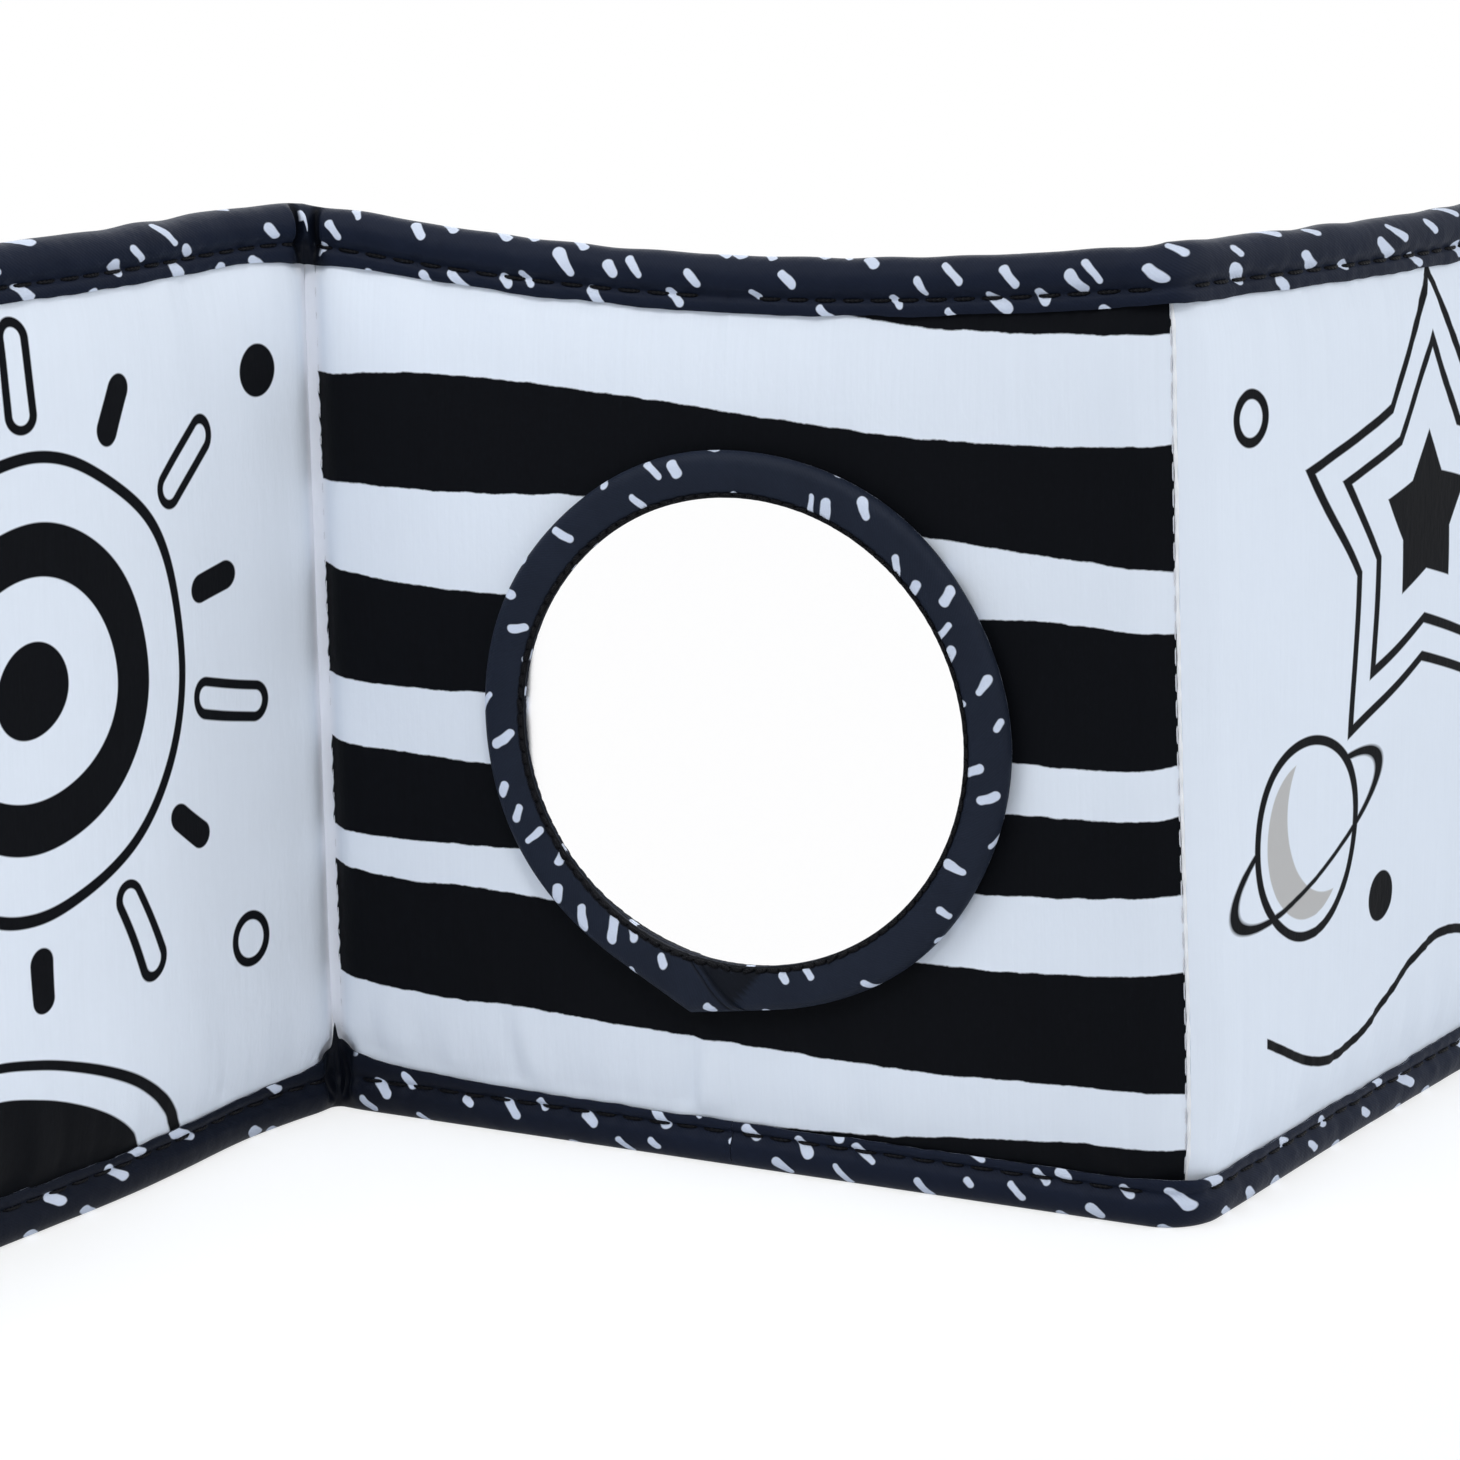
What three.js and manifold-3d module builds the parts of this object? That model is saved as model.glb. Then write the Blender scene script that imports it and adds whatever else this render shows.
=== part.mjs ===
// A fold-out contrast book: three padded cloth pages hinged at two sewn folds, standing in a zigzag.
// Millimetres, +Z up. The middle page lies in the XZ plane and faces -Y, and the origin is at the
// middle of its bottom edge. Each page is modelled flat in its own frame and then drawn in by one
// shared warp, so that its covers, its pad and its bindings stay nested.
import * as THREE from "three";
import { mergeVertices } from "three/addons/utils/BufferGeometryUtils.js";
import Module from "manifold-3d";

// Driving sizes of the book
const PAGE_WIDTH = 176; // from fold line to fold line
const PAGE_HEIGHT = 180; // bindings included
const PAGE_TURN = THREE.MathUtils.degToRad(78); // each outer page out of the middle page's plane
const CLOSED_HALF_ANGLE = THREE.MathUtils.degToRad(12); // half the least angle between two pages
const FOLD_FREEDOM_SHARE = 0.965; // of that half angle's slope that the padding fills
const CORNER_RADIUS = 14; // the free corners of the outer pages

// Padding and cloth
const PAD_SWELL = 3.6; // half the pad's thickness in the middle of a page
const OUTER_CROWN = 0.6; // what the outer pages swell further at their centres
const COVER_CLOTH = 0.7; // printed cloth with its lining
const TAPE_CLOTH = 0.9; // binding tape, folded double
const LAYER_GAP = 0.3; // between two layers that lie on each other
const TUCK_GAP = 0.5; // between a cover and the tape that it is tucked into
const THINNEST_LAYER = 0.22;
const PILLOW_REACH = 20; // how far inside the binding the page takes to swell
const LIP_RISE = 2.6; // how far inside the lip a cover takes to come up from under it

// Edge binding, measured inwards from the page's outline
const BINDING_DEPTH = 10.2;
const BINDING_SWELL = 3.8; // half the thickness of the puffed edge
const NOSE_DEPTH = 4.1; // to the thickest line
const GROOVE_DEPTH = 7.4; // to the stitch line
const GROOVE_HALF = 2.8; // half the thickness in the stitch groove
const LIP_CREST = 8.4; // to the lip's crest
const LIP_HALF = 3.1; // half the thickness at the lip
const CAVITY_DEPTH = 1.5; // to the bottom of the tape's fold
const EDGE_INSET = 2.9; // to the covers' raw edges
const PAD_INSET = 5.2; // to the pad's edge
const BASE_CUT = 0.5; // how deep the bottom bindings are pressed flat
const TAPE_JOIN = 3; // from a rounded corner to the join of two tapes

// Folds, measured from the fold line
const SEAM_RADIUS = 1.4;
const SEAM_END_GAP = 1; // from the seam's ends to the page's top and bottom
const FOLD_INSET = 1.8; // where the cloth of a page begins
const PAD_FOLD_INSET = 7.5; // where the pad begins
const CAVITY_START = 11; // nearer than this, the tape is pinched shut
const COVER_NOTCH = 12; // nearer than this, the covers stop below the binding
const PAD_NOTCH = 20.4; // nearer than this, the pad stops below the binding
const PAD_NOTCH_ROW = 15; // and this is where it stops, from the outline
const SOFT_MIN = 1.2; // how widely two limits are rounded into each other

// Drawing-in of the cloth between its corners
const MIDDLE_SAG = 6.8; // of the middle page's top edge
const OUTER_SAG = 1.6; // of an outer page's top edge
const END_DRAW = 1.6; // of an outer page's free edge
const SAG_SHARES = [0.3, 0.9]; // of the page's height, where the sag begins and is full
const DRAW_SHARES = [0.5, 0.9]; // of the page's width, where the draw begins and is full

// Mirror on the middle page, measured from its middle plane and from its rim's outline
const MIRROR_X = 3.5;
const MIRROR_Z = 86;
const RIM_RADIUS = 52.7;
const RIM_WIDTH = 8.6;
const RIM_BACK = 1.7;
const RIM_FRONT = 2.3;
const RIM_NOSE_DEPTH = 2.6;
const RIM_PUFF_DEPTH = 4.9;
const RIM_GROOVE_DEPTH = 6.9;
const RIM_GROOVE_FRONT = 1.75;
const RIM_LIP_CREST = 7.6;
const RIM_LIP_FRONT = 1.95;
const RIM_CAVITY_HALF = 1.2;
const RIM_CAVITY_DEPTH = 1.7;
const SHEET_THICKNESS = 0.6;
const BACKING_THICKNESS = 0.8;
const MIRROR_DOME = 0.3; // how far the sheet bulges over its foam
const DISC_CLEARANCE = 0.4; // from the disc's edge to the bottom of the tape's fold
const LAP_HEIGHT = 0.6; // the tape's folded end, lapped over its start
const LAP_ANGLE = THREE.MathUtils.degToRad(-97); // from +X towards +Z
const LAP_SPAN = THREE.MathUtils.degToRad(7);
const LAP_EDGE = THREE.MathUtils.degToRad(0.5);
const LAP_SLANT = THREE.MathUtils.degToRad(8); // of the folded end across the tape
const LAP_CORNER = 1.2; // how far the folded corner stands out of the rim
const RIM_STEPS = 36;
const DISC_STEPS = 40;
const DOME_SHARES = [0, 0.35, 0.7, 1]; // of the window's radius, where the dome is shaped

// Lines across which the cloth is shaped: from a fold and from an edge
const FIELD_COLUMNS = [30, 50];
const FIELD_ROWS = [12.8, 19, 31, 60];
const FOLD_COLUMNS = [FOLD_INSET, PAD_FOLD_INSET, COVER_NOTCH, PAD_NOTCH, ...FIELD_COLUMNS];
const EDGE_ROWS = [EDGE_INSET, PAD_INSET, GROOVE_DEPTH, BINDING_DEPTH, ...FIELD_ROWS];
const TAPE_STATIONS = [FOLD_INSET, PAD_FOLD_INSET, CAVITY_START, PAD_NOTCH, ...FIELD_COLUMNS];
const CORNER_STEPS = 6;
const NOSE_STEPS = 3;
const SEAM_STEPS = 10;
const CUT_OVERRUN = 5; // how far a cutting solid runs past what it cuts
const LIP_OVERRUN = 1; // and the tape's hollow past its lip

const FOLD_SLOPE = Math.tan(CLOSED_HALF_ANGLE) * FOLD_FREEDOM_SHARE; // half thickness per mm from a fold
const PAGE_SWELL = PAD_SWELL + LAYER_GAP + COVER_CLOTH; // half a page's thickness, covers included
const QUARTER_TURN = Math.PI / 2;

const wasm = await Module();
wasm.setup();

const mix = (a, b, share) => a + (b - a) * share;
const clamp01 = (t) => Math.min(1, Math.max(0, t));
const ease = (t) => clamp01(t) ** 2 * (3 - 2 * clamp01(t));
const easeBetween = (value, [start, full]) => ease((value - start) / (full - start));

// The smaller of two lengths, rounded where they cross.
function softMin(a, b) {
  const near = Math.max(SOFT_MIN - Math.abs(a - b), 0) / SOFT_MIN;
  return Math.min(a, b) - (near * near * SOFT_MIN) / 4;
}

const cloth = (color) => new THREE.MeshStandardMaterial({ color, roughness: 0.85, metalness: 0 });
const MATERIALS = {
  print: cloth(0xdbe4ef),
  backPrint: cloth(0xd3dbe6),
  foam: cloth(0xf2efe8),
  binding: cloth(0x2b313f),
  seam: cloth(0xc9d0da),
  mirror: new THREE.MeshStandardMaterial({ color: 0xf4f6f8, roughness: 0.05, metalness: 1 }),
};

// A geometry of shared vertices from points and triangles, with its faces turned outwards.
function closedGeometry(points, triangles) {
  const cross = new THREE.Vector3();
  const volumeOf = ([a, b, c]) => points[a].dot(cross.crossVectors(points[b], points[c]));
  const volume = triangles.reduce((sum, triangle) => sum + volumeOf(triangle), 0);
  const outward = volume < 0 ? triangles.map(([a, b, c]) => [a, c, b]) : triangles;
  return new THREE.BufferGeometry().setFromPoints(points).setIndex(outward.flat());
}

// The closed body between two grids of points that have the same rows and columns.
function bodyBetween(front, back) {
  const lastRow = front.length - 1;
  const lastColumn = front[0].length - 1;
  const at = (layer, i, j) => (layer * (lastRow + 1) + i) * (lastColumn + 1) + j;
  const triangles = [];
  const quad = (a, b, c, d) => triangles.push([a, b, c], [a, c, d]);
  for (let i = 0; i < lastRow; i++) {
    for (let j = 0; j < lastColumn; j++) {
      quad(at(0, i, j), at(0, i + 1, j), at(0, i + 1, j + 1), at(0, i, j + 1));
      quad(at(1, i, j), at(1, i, j + 1), at(1, i + 1, j + 1), at(1, i + 1, j));
    }
    quad(at(0, i + 1, 0), at(0, i, 0), at(1, i, 0), at(1, i + 1, 0));
    quad(at(0, i, lastColumn), at(0, i + 1, lastColumn), at(1, i + 1, lastColumn), at(1, i, lastColumn));
  }
  for (let j = 0; j < lastColumn; j++) {
    quad(at(0, 0, j), at(0, 0, j + 1), at(1, 0, j + 1), at(1, 0, j));
    quad(at(0, lastRow, j + 1), at(0, lastRow, j), at(1, lastRow, j), at(1, lastRow, j + 1));
  }
  return closedGeometry([...front.flat(), ...back.flat()], triangles);
}

// The closed body through a row of like sections. With the sections' own plane figure both ends
// are closed by it, and without one the last section meets the first again.
function loft(sections, figure) {
  const count = sections[0].length;
  const spans = figure ? sections.length - 1 : sections.length;
  const triangles = [];
  for (let i = 0; i < spans; i++) {
    const here = i * count;
    const next = ((i + 1) % sections.length) * count;
    for (let k = 0; k < count; k++) {
      const after = (k + 1) % count;
      triangles.push([here + k, next + k, next + after], [here + k, next + after, here + after]);
    }
  }
  if (figure) {
    const end = spans * count;
    const clockwise = THREE.ShapeUtils.isClockWise(figure);
    for (const [a, b, c] of THREE.ShapeUtils.triangulateShape(figure, [])) {
      const [p, q] = clockwise ? [c, b] : [b, c];
      triangles.push([a, p, q], [end + a, end + q, end + p]);
    }
  }
  return closedGeometry(sections.flat(), triangles);
}

function toSolid(geometry) {
  const bare = geometry.clone();
  bare.deleteAttribute("normal");
  bare.deleteAttribute("uv");
  const merged = mergeVertices(bare);
  return new wasm.Manifold(
    new wasm.Mesh({
      numProp: 3,
      vertProperties: new Float32Array(merged.attributes.position.array),
      triVerts: new Uint32Array(merged.index.array),
    }),
  );
}

function toGeometry(solid) {
  const mesh = solid.getMesh();
  return new THREE.BufferGeometry()
    .setAttribute("position", new THREE.BufferAttribute(mesh.vertProperties, 3))
    .setIndex(new THREE.BufferAttribute(mesh.triVerts, 1));
}

// A page in its own frame: x runs along it, and towards is the side of x that its free edge is on,
// or 0 for the middle page, which has a fold at both sides.
class Page {
  constructor(towards, sag, crown) {
    this.towards = towards;
    this.sag = sag;
    this.crown = crown;
  }

  foldDistance(x) {
    return PAGE_WIDTH / 2 + (this.towards ? this.towards * x : -Math.abs(x));
  }

  freeDistance(x) {
    return this.towards ? PAGE_WIDTH / 2 - this.towards * x : Infinity;
  }

  // How deep a point lies inside the page's outline, leaving the folds out of account.
  depth(x, z) {
    const side = this.freeDistance(x);
    const end = Math.min(z + BASE_CUT, PAGE_HEIGHT - z);
    const inCorner = side < CORNER_RADIUS && end < CORNER_RADIUS;
    return inCorner
      ? CORNER_RADIUS - Math.hypot(CORNER_RADIUS - side, CORNER_RADIUS - end)
      : Math.min(side, end);
  }

  // How far the rounded corner lowers the covers' raw edge at x.
  cornerDrop(x) {
    const radius = CORNER_RADIUS - EDGE_INSET;
    const across = Math.min(Math.max(CORNER_RADIUS - this.freeDistance(x), 0), radius);
    return radius - Math.sqrt(radius ** 2 - across ** 2);
  }

  // The drawing-in of the cloth, for a point of the flat page.
  warp(x, y, z) {
    const along = clamp01(x / PAGE_WIDTH + 1 / 2);
    const up = clamp01(z / PAGE_HEIGHT);
    const sag = this.sag * 4 * along * (1 - along) * easeBetween(up, SAG_SHARES);
    const reach = this.foldDistance(x) / PAGE_WIDTH;
    const draw = this.towards * END_DRAW * 4 * up * (1 - up) * easeBetween(reach, DRAW_SHARES);
    return new THREE.Vector3(x - draw, y, z - sag);
  }

  // Half the thickness over the covers.
  coverHalf(x, z) {
    const depth = this.depth(x, z);
    const fold = this.foldDistance(x);
    const share = clamp01((depth - BINDING_DEPTH) / PILLOW_REACH);
    const crown = this.crown * (1 - (x / (PAGE_WIDTH / 2)) ** 2) * (1 - (z / (PAGE_HEIGHT / 2) - 1) ** 2);
    const underLip = LIP_HALF - TAPE_CLOTH - TUCK_GAP;
    const pillow = mix(underLip, PAGE_SWELL + crown, 1 - (1 - share) ** 2);
    const open = softMin(pillow, FOLD_SLOPE * fold);
    if (fold < COVER_NOTCH) return open;
    const tucked = Math.max(cavityHalf(depth, fold) - TUCK_GAP, LAYER_GAP / 2 + THINNEST_LAYER);
    return mix(tucked, Math.max(tucked, open), ease((depth - BINDING_DEPTH) / LIP_RISE));
  }

  coverInner(x, z) {
    return Math.max(this.coverHalf(x, z) - COVER_CLOTH, LAYER_GAP / 2);
  }

  padHalf(x, z) {
    return Math.max(this.coverInner(x, z) - LAYER_GAP, THINNEST_LAYER);
  }

  // Points over the page for a layer set in by two insets, as columns of a place and a half thickness.
  grid(foldInset, inset, halfAt) {
    const folds = FOLD_COLUMNS.filter((c) => c >= foldInset).map((c) => c - PAGE_WIDTH / 2);
    const rows = EDGE_ROWS.filter((d) => d >= inset);
    const columns = this.towards
      ? [...folds, ...rows.map((d) => PAGE_WIDTH / 2 - d)].map((x) => this.towards * x)
      : [...folds, 0, ...folds.map((x) => -x)];
    return columns
      .sort((a, b) => a - b)
      .map((x) => {
        const depths = rows.map((d) => d + this.cornerDrop(x));
        const low = depths.map((d) => d - BASE_CUT);
        const high = depths.map((d) => PAGE_HEIGHT - d).reverse();
        return [...low, ...high].map((z) => ({ x, z, half: halfAt(x, z) }));
      });
  }

  // A layer's skin at one side: side -1 is the front, and 1 the back.
  skin(grid, side) {
    return grid.map((column) => column.map(({ x, z, half }) => this.warp(x, side * half, z)));
  }

  // A layer cut off below the pinched bindings, at both ends of every fold.
  notched(geometry, width, row) {
    const reaches = [-CUT_OVERRUN, ...FOLD_COLUMNS.filter((c) => c < width), width];
    const columns = reaches.map((c) => c - PAGE_WIDTH / 2);
    const top = [PAGE_HEIGHT - row, PAGE_HEIGHT + CUT_OVERRUN];
    const bottom = [-BASE_CUT - CUT_OVERRUN, row - BASE_CUT];
    const folds = this.towards ? [this.towards] : [-1, 1];
    const cutters = folds.flatMap((towards) =>
      [top, bottom].map((span) => {
        const skin = (y) => columns.map((x) => span.map((z) => this.warp(towards * x, y, z)));
        return toSolid(bodyBetween(skin(-PAGE_WIDTH), skin(PAGE_WIDTH)));
      }),
    );
    return toGeometry(cutters.reduce((solid, cutter) => solid.subtract(cutter), toSolid(geometry)));
  }

  cover(side) {
    const outer = this.grid(FOLD_INSET, EDGE_INSET, (x, z) => this.coverHalf(x, z));
    const inner = this.grid(FOLD_INSET, EDGE_INSET, (x, z) => this.coverInner(x, z));
    const cloth = bodyBetween(this.skin(outer, side), this.skin(inner, side));
    return this.notched(cloth, COVER_NOTCH, BINDING_DEPTH + LAYER_GAP);
  }

  pad() {
    const grid = this.grid(PAD_FOLD_INSET, PAD_INSET, (x, z) => this.padHalf(x, z));
    return this.notched(bodyBetween(this.skin(grid, -1), this.skin(grid, 1)), PAD_NOTCH, PAD_NOTCH_ROW);
  }

  // A stretch of binding tape along stations of the outline, each a place with its inward direction.
  tape(stations) {
    const outer = sectionFigure(0, TAPE_DEPTHS, (depth, fold) => tapeHalf(depth) * pinch(fold));
    const inner = sectionFigure(CAVITY_DEPTH, CAVITY_DEPTHS, cavityHalf);
    const place = ({ x, z, inX, inZ }, { x: depth, y: half }) =>
      this.warp(x + inX * depth, half, z + inZ * depth);
    const sections = (figure, list) =>
      list.map((station) => figure(this.foldDistance(station.x)).map((point) => place(station, point)));
    const open = this.cavityStations(stations);
    const body = toSolid(loft(sections(outer, stations), outer(Infinity)));
    const hollow = toSolid(loft(sections(inner, open), inner(Infinity)));
    const floor = new THREE.BoxGeometry(2 * PAGE_WIDTH, PAGE_WIDTH, CUT_OVERRUN);
    floor.translate(0, 0, -CUT_OVERRUN / 2);
    return toGeometry(body.subtract(hollow).subtract(toSolid(floor)));
  }

  // The stations over which the tape is hollow: closed near a fold, run past a tape's other ends.
  cavityStations(stations) {
    const open = stations.filter(({ x }) => this.foldDistance(x) >= CAVITY_START);
    const runPast = (end, before) => {
      const along = new THREE.Vector2(end.x - before.x, end.z - before.z).setLength(CUT_OVERRUN);
      return { ...end, x: end.x + along.x, z: end.z + along.y };
    };
    if (open[0] === stations[0]) open.unshift(runPast(open[0], open[1]));
    if (open.at(-1) === stations.at(-1)) open.push(runPast(open.at(-1), open.at(-2)));
    return open;
  }

  // The stations of the tape along the top (end 1) or the bottom (end -1).
  edgeStations(end) {
    const folds = TAPE_STATIONS.map((c) => c - PAGE_WIDTH / 2);
    const join = PAGE_WIDTH / 2 - CORNER_RADIUS - TAPE_JOIN;
    const places = this.towards
      ? [...folds, 0, join / 2, join].map((x) => this.towards * x)
      : [...folds, 0, ...folds.map((x) => -x).reverse()];
    return places.map((x) => ({ x, z: end > 0 ? PAGE_HEIGHT : -BASE_CUT, inX: 0, inZ: -end }));
  }

  // The stations of the tape round the free edge and its two rounded corners, from the top down.
  endStations() {
    const side = this.towards;
    const corner = PAGE_WIDTH / 2 - CORNER_RADIUS;
    const start = corner - TAPE_JOIN + LAYER_GAP;
    const arc = (end) => {
      const centreZ = end > 0 ? PAGE_HEIGHT - CORNER_RADIUS : CORNER_RADIUS - BASE_CUT;
      return Array.from({ length: CORNER_STEPS + 1 }, (_, i) => {
        const angle = (i / CORNER_STEPS) * QUARTER_TURN;
        const out = new THREE.Vector2(Math.sin(angle), end * Math.cos(angle));
        return {
          x: side * (corner + CORNER_RADIUS * out.x),
          z: centreZ + CORNER_RADIUS * out.y,
          inX: -side * out.x,
          inZ: -out.y,
        };
      });
    };
    const first = { x: side * start, z: PAGE_HEIGHT, inX: 0, inZ: -1 };
    const middle = { x: (side * PAGE_WIDTH) / 2, z: PAGE_HEIGHT / 2, inX: -side, inZ: 0 };
    const last = { x: side * start, z: -BASE_CUT, inX: 0, inZ: 1 };
    return [first, ...arc(1), middle, ...arc(-1).reverse(), last];
  }
}

// How far the tape is pinched at a distance from a fold, as a share of its thickness.
function pinch(fold) {
  return softMin(BINDING_SWELL, FOLD_SLOPE * fold) / BINDING_SWELL;
}

// Half the tape's outer thickness: a round nose, a puffed edge, the stitch groove and the lip.
function tapeHalf(depth) {
  if (depth < NOSE_DEPTH) return BINDING_SWELL * Math.sqrt(1 - ((NOSE_DEPTH - depth) / NOSE_DEPTH) ** 2);
  const puff = mix(BINDING_SWELL, GROOVE_HALF, easeBetween(depth, [NOSE_DEPTH, GROOVE_DEPTH]));
  return mix(puff, LIP_HALF, easeBetween(depth, [GROOVE_DEPTH, LIP_CREST]));
}

// Half the room inside the folded tape.
function cavityHalf(depth, fold) {
  if (depth >= NOSE_DEPTH) return tapeHalf(depth) * pinch(fold) - TAPE_CLOTH;
  const rise = clamp01((depth - CAVITY_DEPTH) / (NOSE_DEPTH - CAVITY_DEPTH));
  return (BINDING_SWELL * pinch(fold) - TAPE_CLOTH) * Math.sqrt(1 - (1 - rise) ** 2);
}

// Depths over the round nose of a section that starts at one depth and levels off at another.
function noseDepths(start, level) {
  const angles = Array.from({ length: NOSE_STEPS }, (_, i) => ((i + 1) / NOSE_STEPS) * QUARTER_TURN);
  return angles.map((angle) => mix(start, level, 1 - Math.cos(angle)));
}

const TAPE_DEPTHS = [
  ...noseDepths(0, NOSE_DEPTH),
  (NOSE_DEPTH + GROOVE_DEPTH) / 2,
  GROOVE_DEPTH,
  LIP_CREST,
  BINDING_DEPTH,
];
const CAVITY_DEPTHS = [
  ...noseDepths(CAVITY_DEPTH, NOSE_DEPTH),
  (NOSE_DEPTH + GROOVE_DEPTH) / 2,
  GROOVE_DEPTH,
  BINDING_DEPTH + LIP_OVERRUN,
];

// A section's figure at a distance from the fold: up one side, over the nose and down the other.
function sectionFigure(nose, depths, halfAt) {
  return (fold) => {
    const side = (sign) => depths.map((depth) => new THREE.Vector2(depth, sign * halfAt(depth, fold)));
    return [...side(-1).reverse(), new THREE.Vector2(nose, 0), ...side(1)];
  };
}

const book = new THREE.Group();

function addMesh(parent, name, geometry, material) {
  const mesh = new THREE.Mesh(geometry, material);
  mesh.name = name;
  parent.add(mesh);
  return mesh;
}

// A page's covers, pad and bindings in a group of its own.
function addPage(name, page) {
  const group = new THREE.Group();
  addMesh(group, name + "_front_cover", page.cover(-1), MATERIALS.print);
  addMesh(group, name + "_back_cover", page.cover(1), MATERIALS.backPrint);
  addMesh(group, name + "_foam_pad", page.pad(), MATERIALS.foam);
  addMesh(group, name + "_top_binding", page.tape(page.edgeStations(1)), MATERIALS.binding);
  addMesh(group, name + "_bottom_binding", page.tape(page.edgeStations(-1)), MATERIALS.binding);
  if (page.towards) {
    addMesh(group, name + "_end_binding", page.tape(page.endStations()), MATERIALS.binding);
    const outward = new THREE.Vector3(Math.cos(PAGE_TURN), Math.sin(PAGE_TURN), 0);
    group.rotation.z = PAGE_TURN;
    group.position.set((page.towards * PAGE_WIDTH) / 2, 0, 0);
    group.position.addScaledVector(outward, (page.towards * PAGE_WIDTH) / 2);
  }
  book.add(group);
}

// The sewn line between two pages: a slim round-ended ridge of gathered cloth on the hinge's axis.
function addFoldSeam(name, x) {
  const bottom = SEAM_END_GAP;
  const top = PAGE_HEIGHT - SEAM_END_GAP;
  const profile = [
    new THREE.Vector2(0, bottom),
    new THREE.Vector2(SEAM_RADIUS / 2, bottom),
    new THREE.Vector2(SEAM_RADIUS, bottom + SEAM_RADIUS),
    new THREE.Vector2(SEAM_RADIUS, top - SEAM_RADIUS),
    new THREE.Vector2(SEAM_RADIUS / 2, top),
    new THREE.Vector2(0, top),
  ];
  const seam = addMesh(book, name, new THREE.LatheGeometry(profile, SEAM_STEPS), MATERIALS.seam);
  seam.rotation.x = QUARTER_TURN;
  seam.position.x = x;
}

// The mirror's frame: its axis comes out of the page, from the disc's middle plane.
const mirror = new THREE.Group();
mirror.position.set(MIRROR_X, -(PAGE_SWELL + LAYER_GAP + RIM_BACK), MIRROR_Z);
mirror.rotation.x = QUARTER_TURN;
book.add(mirror);

// A disc of the mirror's stack, from the height of its back to that of its front.
function addDisc(name, back, front, material) {
  const radius = RIM_RADIUS - RIM_CAVITY_DEPTH - DISC_CLEARANCE;
  const window = RIM_RADIUS - RIM_WIDTH;
  const dome = (level) =>
    DOME_SHARES.map((share) => new THREE.Vector2(window * share, level + MIRROR_DOME * (1 - share ** 2)));
  const profile = [
    ...dome(back),
    new THREE.Vector2(radius, back),
    new THREE.Vector2(radius, front),
    ...dome(front).reverse(),
  ];
  const disc = addMesh(mirror, name, new THREE.LatheGeometry(profile, DISC_STEPS), material);
  disc.rotation.x = QUARTER_TURN;
}

// The tape round the mirror: a channel folded over the disc's edge, puffed at the outside, with its
// stitch groove and lip round the window, and its slanted end lapped over its start at the bottom.
function rimSection(angle, lap) {
  const nose = noseDepths(0, RIM_NOSE_DEPTH).map((depth) => ({
    depth,
    share: Math.sqrt(1 - (1 - depth / RIM_NOSE_DEPTH) ** 2),
  }));
  const front = [
    [0, 0],
    ...nose.map(({ depth, share }) => [depth, RIM_FRONT * share]),
    [RIM_PUFF_DEPTH, RIM_FRONT],
    [RIM_GROOVE_DEPTH, RIM_GROOVE_FRONT],
    [RIM_LIP_CREST, RIM_LIP_FRONT],
    [RIM_WIDTH, RIM_GROOVE_FRONT],
  ].map(([depth, height]) => [depth, height + LAP_HEIGHT * lap * clamp01(height / RIM_BACK)]);
  const inside = [
    [RIM_WIDTH, RIM_CAVITY_HALF],
    [RIM_CAVITY_DEPTH, RIM_CAVITY_HALF],
    [RIM_CAVITY_DEPTH, -RIM_CAVITY_HALF],
    [RIM_WIDTH, -RIM_CAVITY_HALF],
  ];
  const back = [
    [RIM_WIDTH, -RIM_BACK],
    ...nose.map(({ depth, share }) => [depth, -RIM_BACK * share]).reverse(),
  ];
  return [...front, ...inside, ...back].map(([depth, height]) => {
    const out = LAP_CORNER * lap * clamp01(1 - depth / RIM_NOSE_DEPTH);
    const turn = angle + lap * LAP_SLANT * (depth / RIM_WIDTH - 1 / 2);
    const radius = RIM_RADIUS + out - depth;
    return new THREE.Vector3(radius * Math.cos(turn), radius * Math.sin(turn), height);
  });
}

function rimGeometry() {
  const clearance = LAP_SPAN / 2 + LAP_SLANT / 2 + LAP_EDGE;
  const aroundLap = (angle) => Math.abs(angle - LAP_ANGLE) < clearance;
  const regular = Array.from({ length: RIM_STEPS }, (_, i) => mix(-Math.PI, Math.PI, i / RIM_STEPS))
    .filter((angle) => !aroundLap(angle))
    .map((angle) => ({ angle, lap: 0 }));
  const lapped = [-1, 1].flatMap((side) => [
    { angle: LAP_ANGLE + side * (LAP_SPAN / 2 + LAP_EDGE), lap: 0 },
    { angle: LAP_ANGLE + (side * LAP_SPAN) / 2, lap: 1 },
  ]);
  const stations = [...regular, ...lapped].sort((a, b) => a.angle - b.angle);
  return loft(stations.map(({ angle, lap }) => rimSection(angle, lap)));
}

addPage("left", new Page(-1, OUTER_SAG, OUTER_CROWN));
addPage("middle", new Page(0, MIDDLE_SAG, 0));
addPage("right", new Page(1, OUTER_SAG, OUTER_CROWN));
addFoldSeam("left_fold_seam", -PAGE_WIDTH / 2);
addFoldSeam("right_fold_seam", PAGE_WIDTH / 2);

const STACK = SHEET_THICKNESS + LAYER_GAP + BACKING_THICKNESS;
addDisc("mirror_sheet", STACK / 2 - SHEET_THICKNESS, STACK / 2, MATERIALS.mirror);
addDisc("mirror_backing", -STACK / 2, -STACK / 2 + BACKING_THICKNESS, MATERIALS.foam);
addMesh(mirror, "mirror_rim_binding", rimGeometry(), MATERIALS.binding);

export default book;
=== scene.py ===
"""A padded cloth contrast book that stands in a zigzag, dressed on its CAD frame."""
import functools
import math

import bmesh
import bpy
import numpy as np
from mathutils import Matrix, Vector

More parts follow.
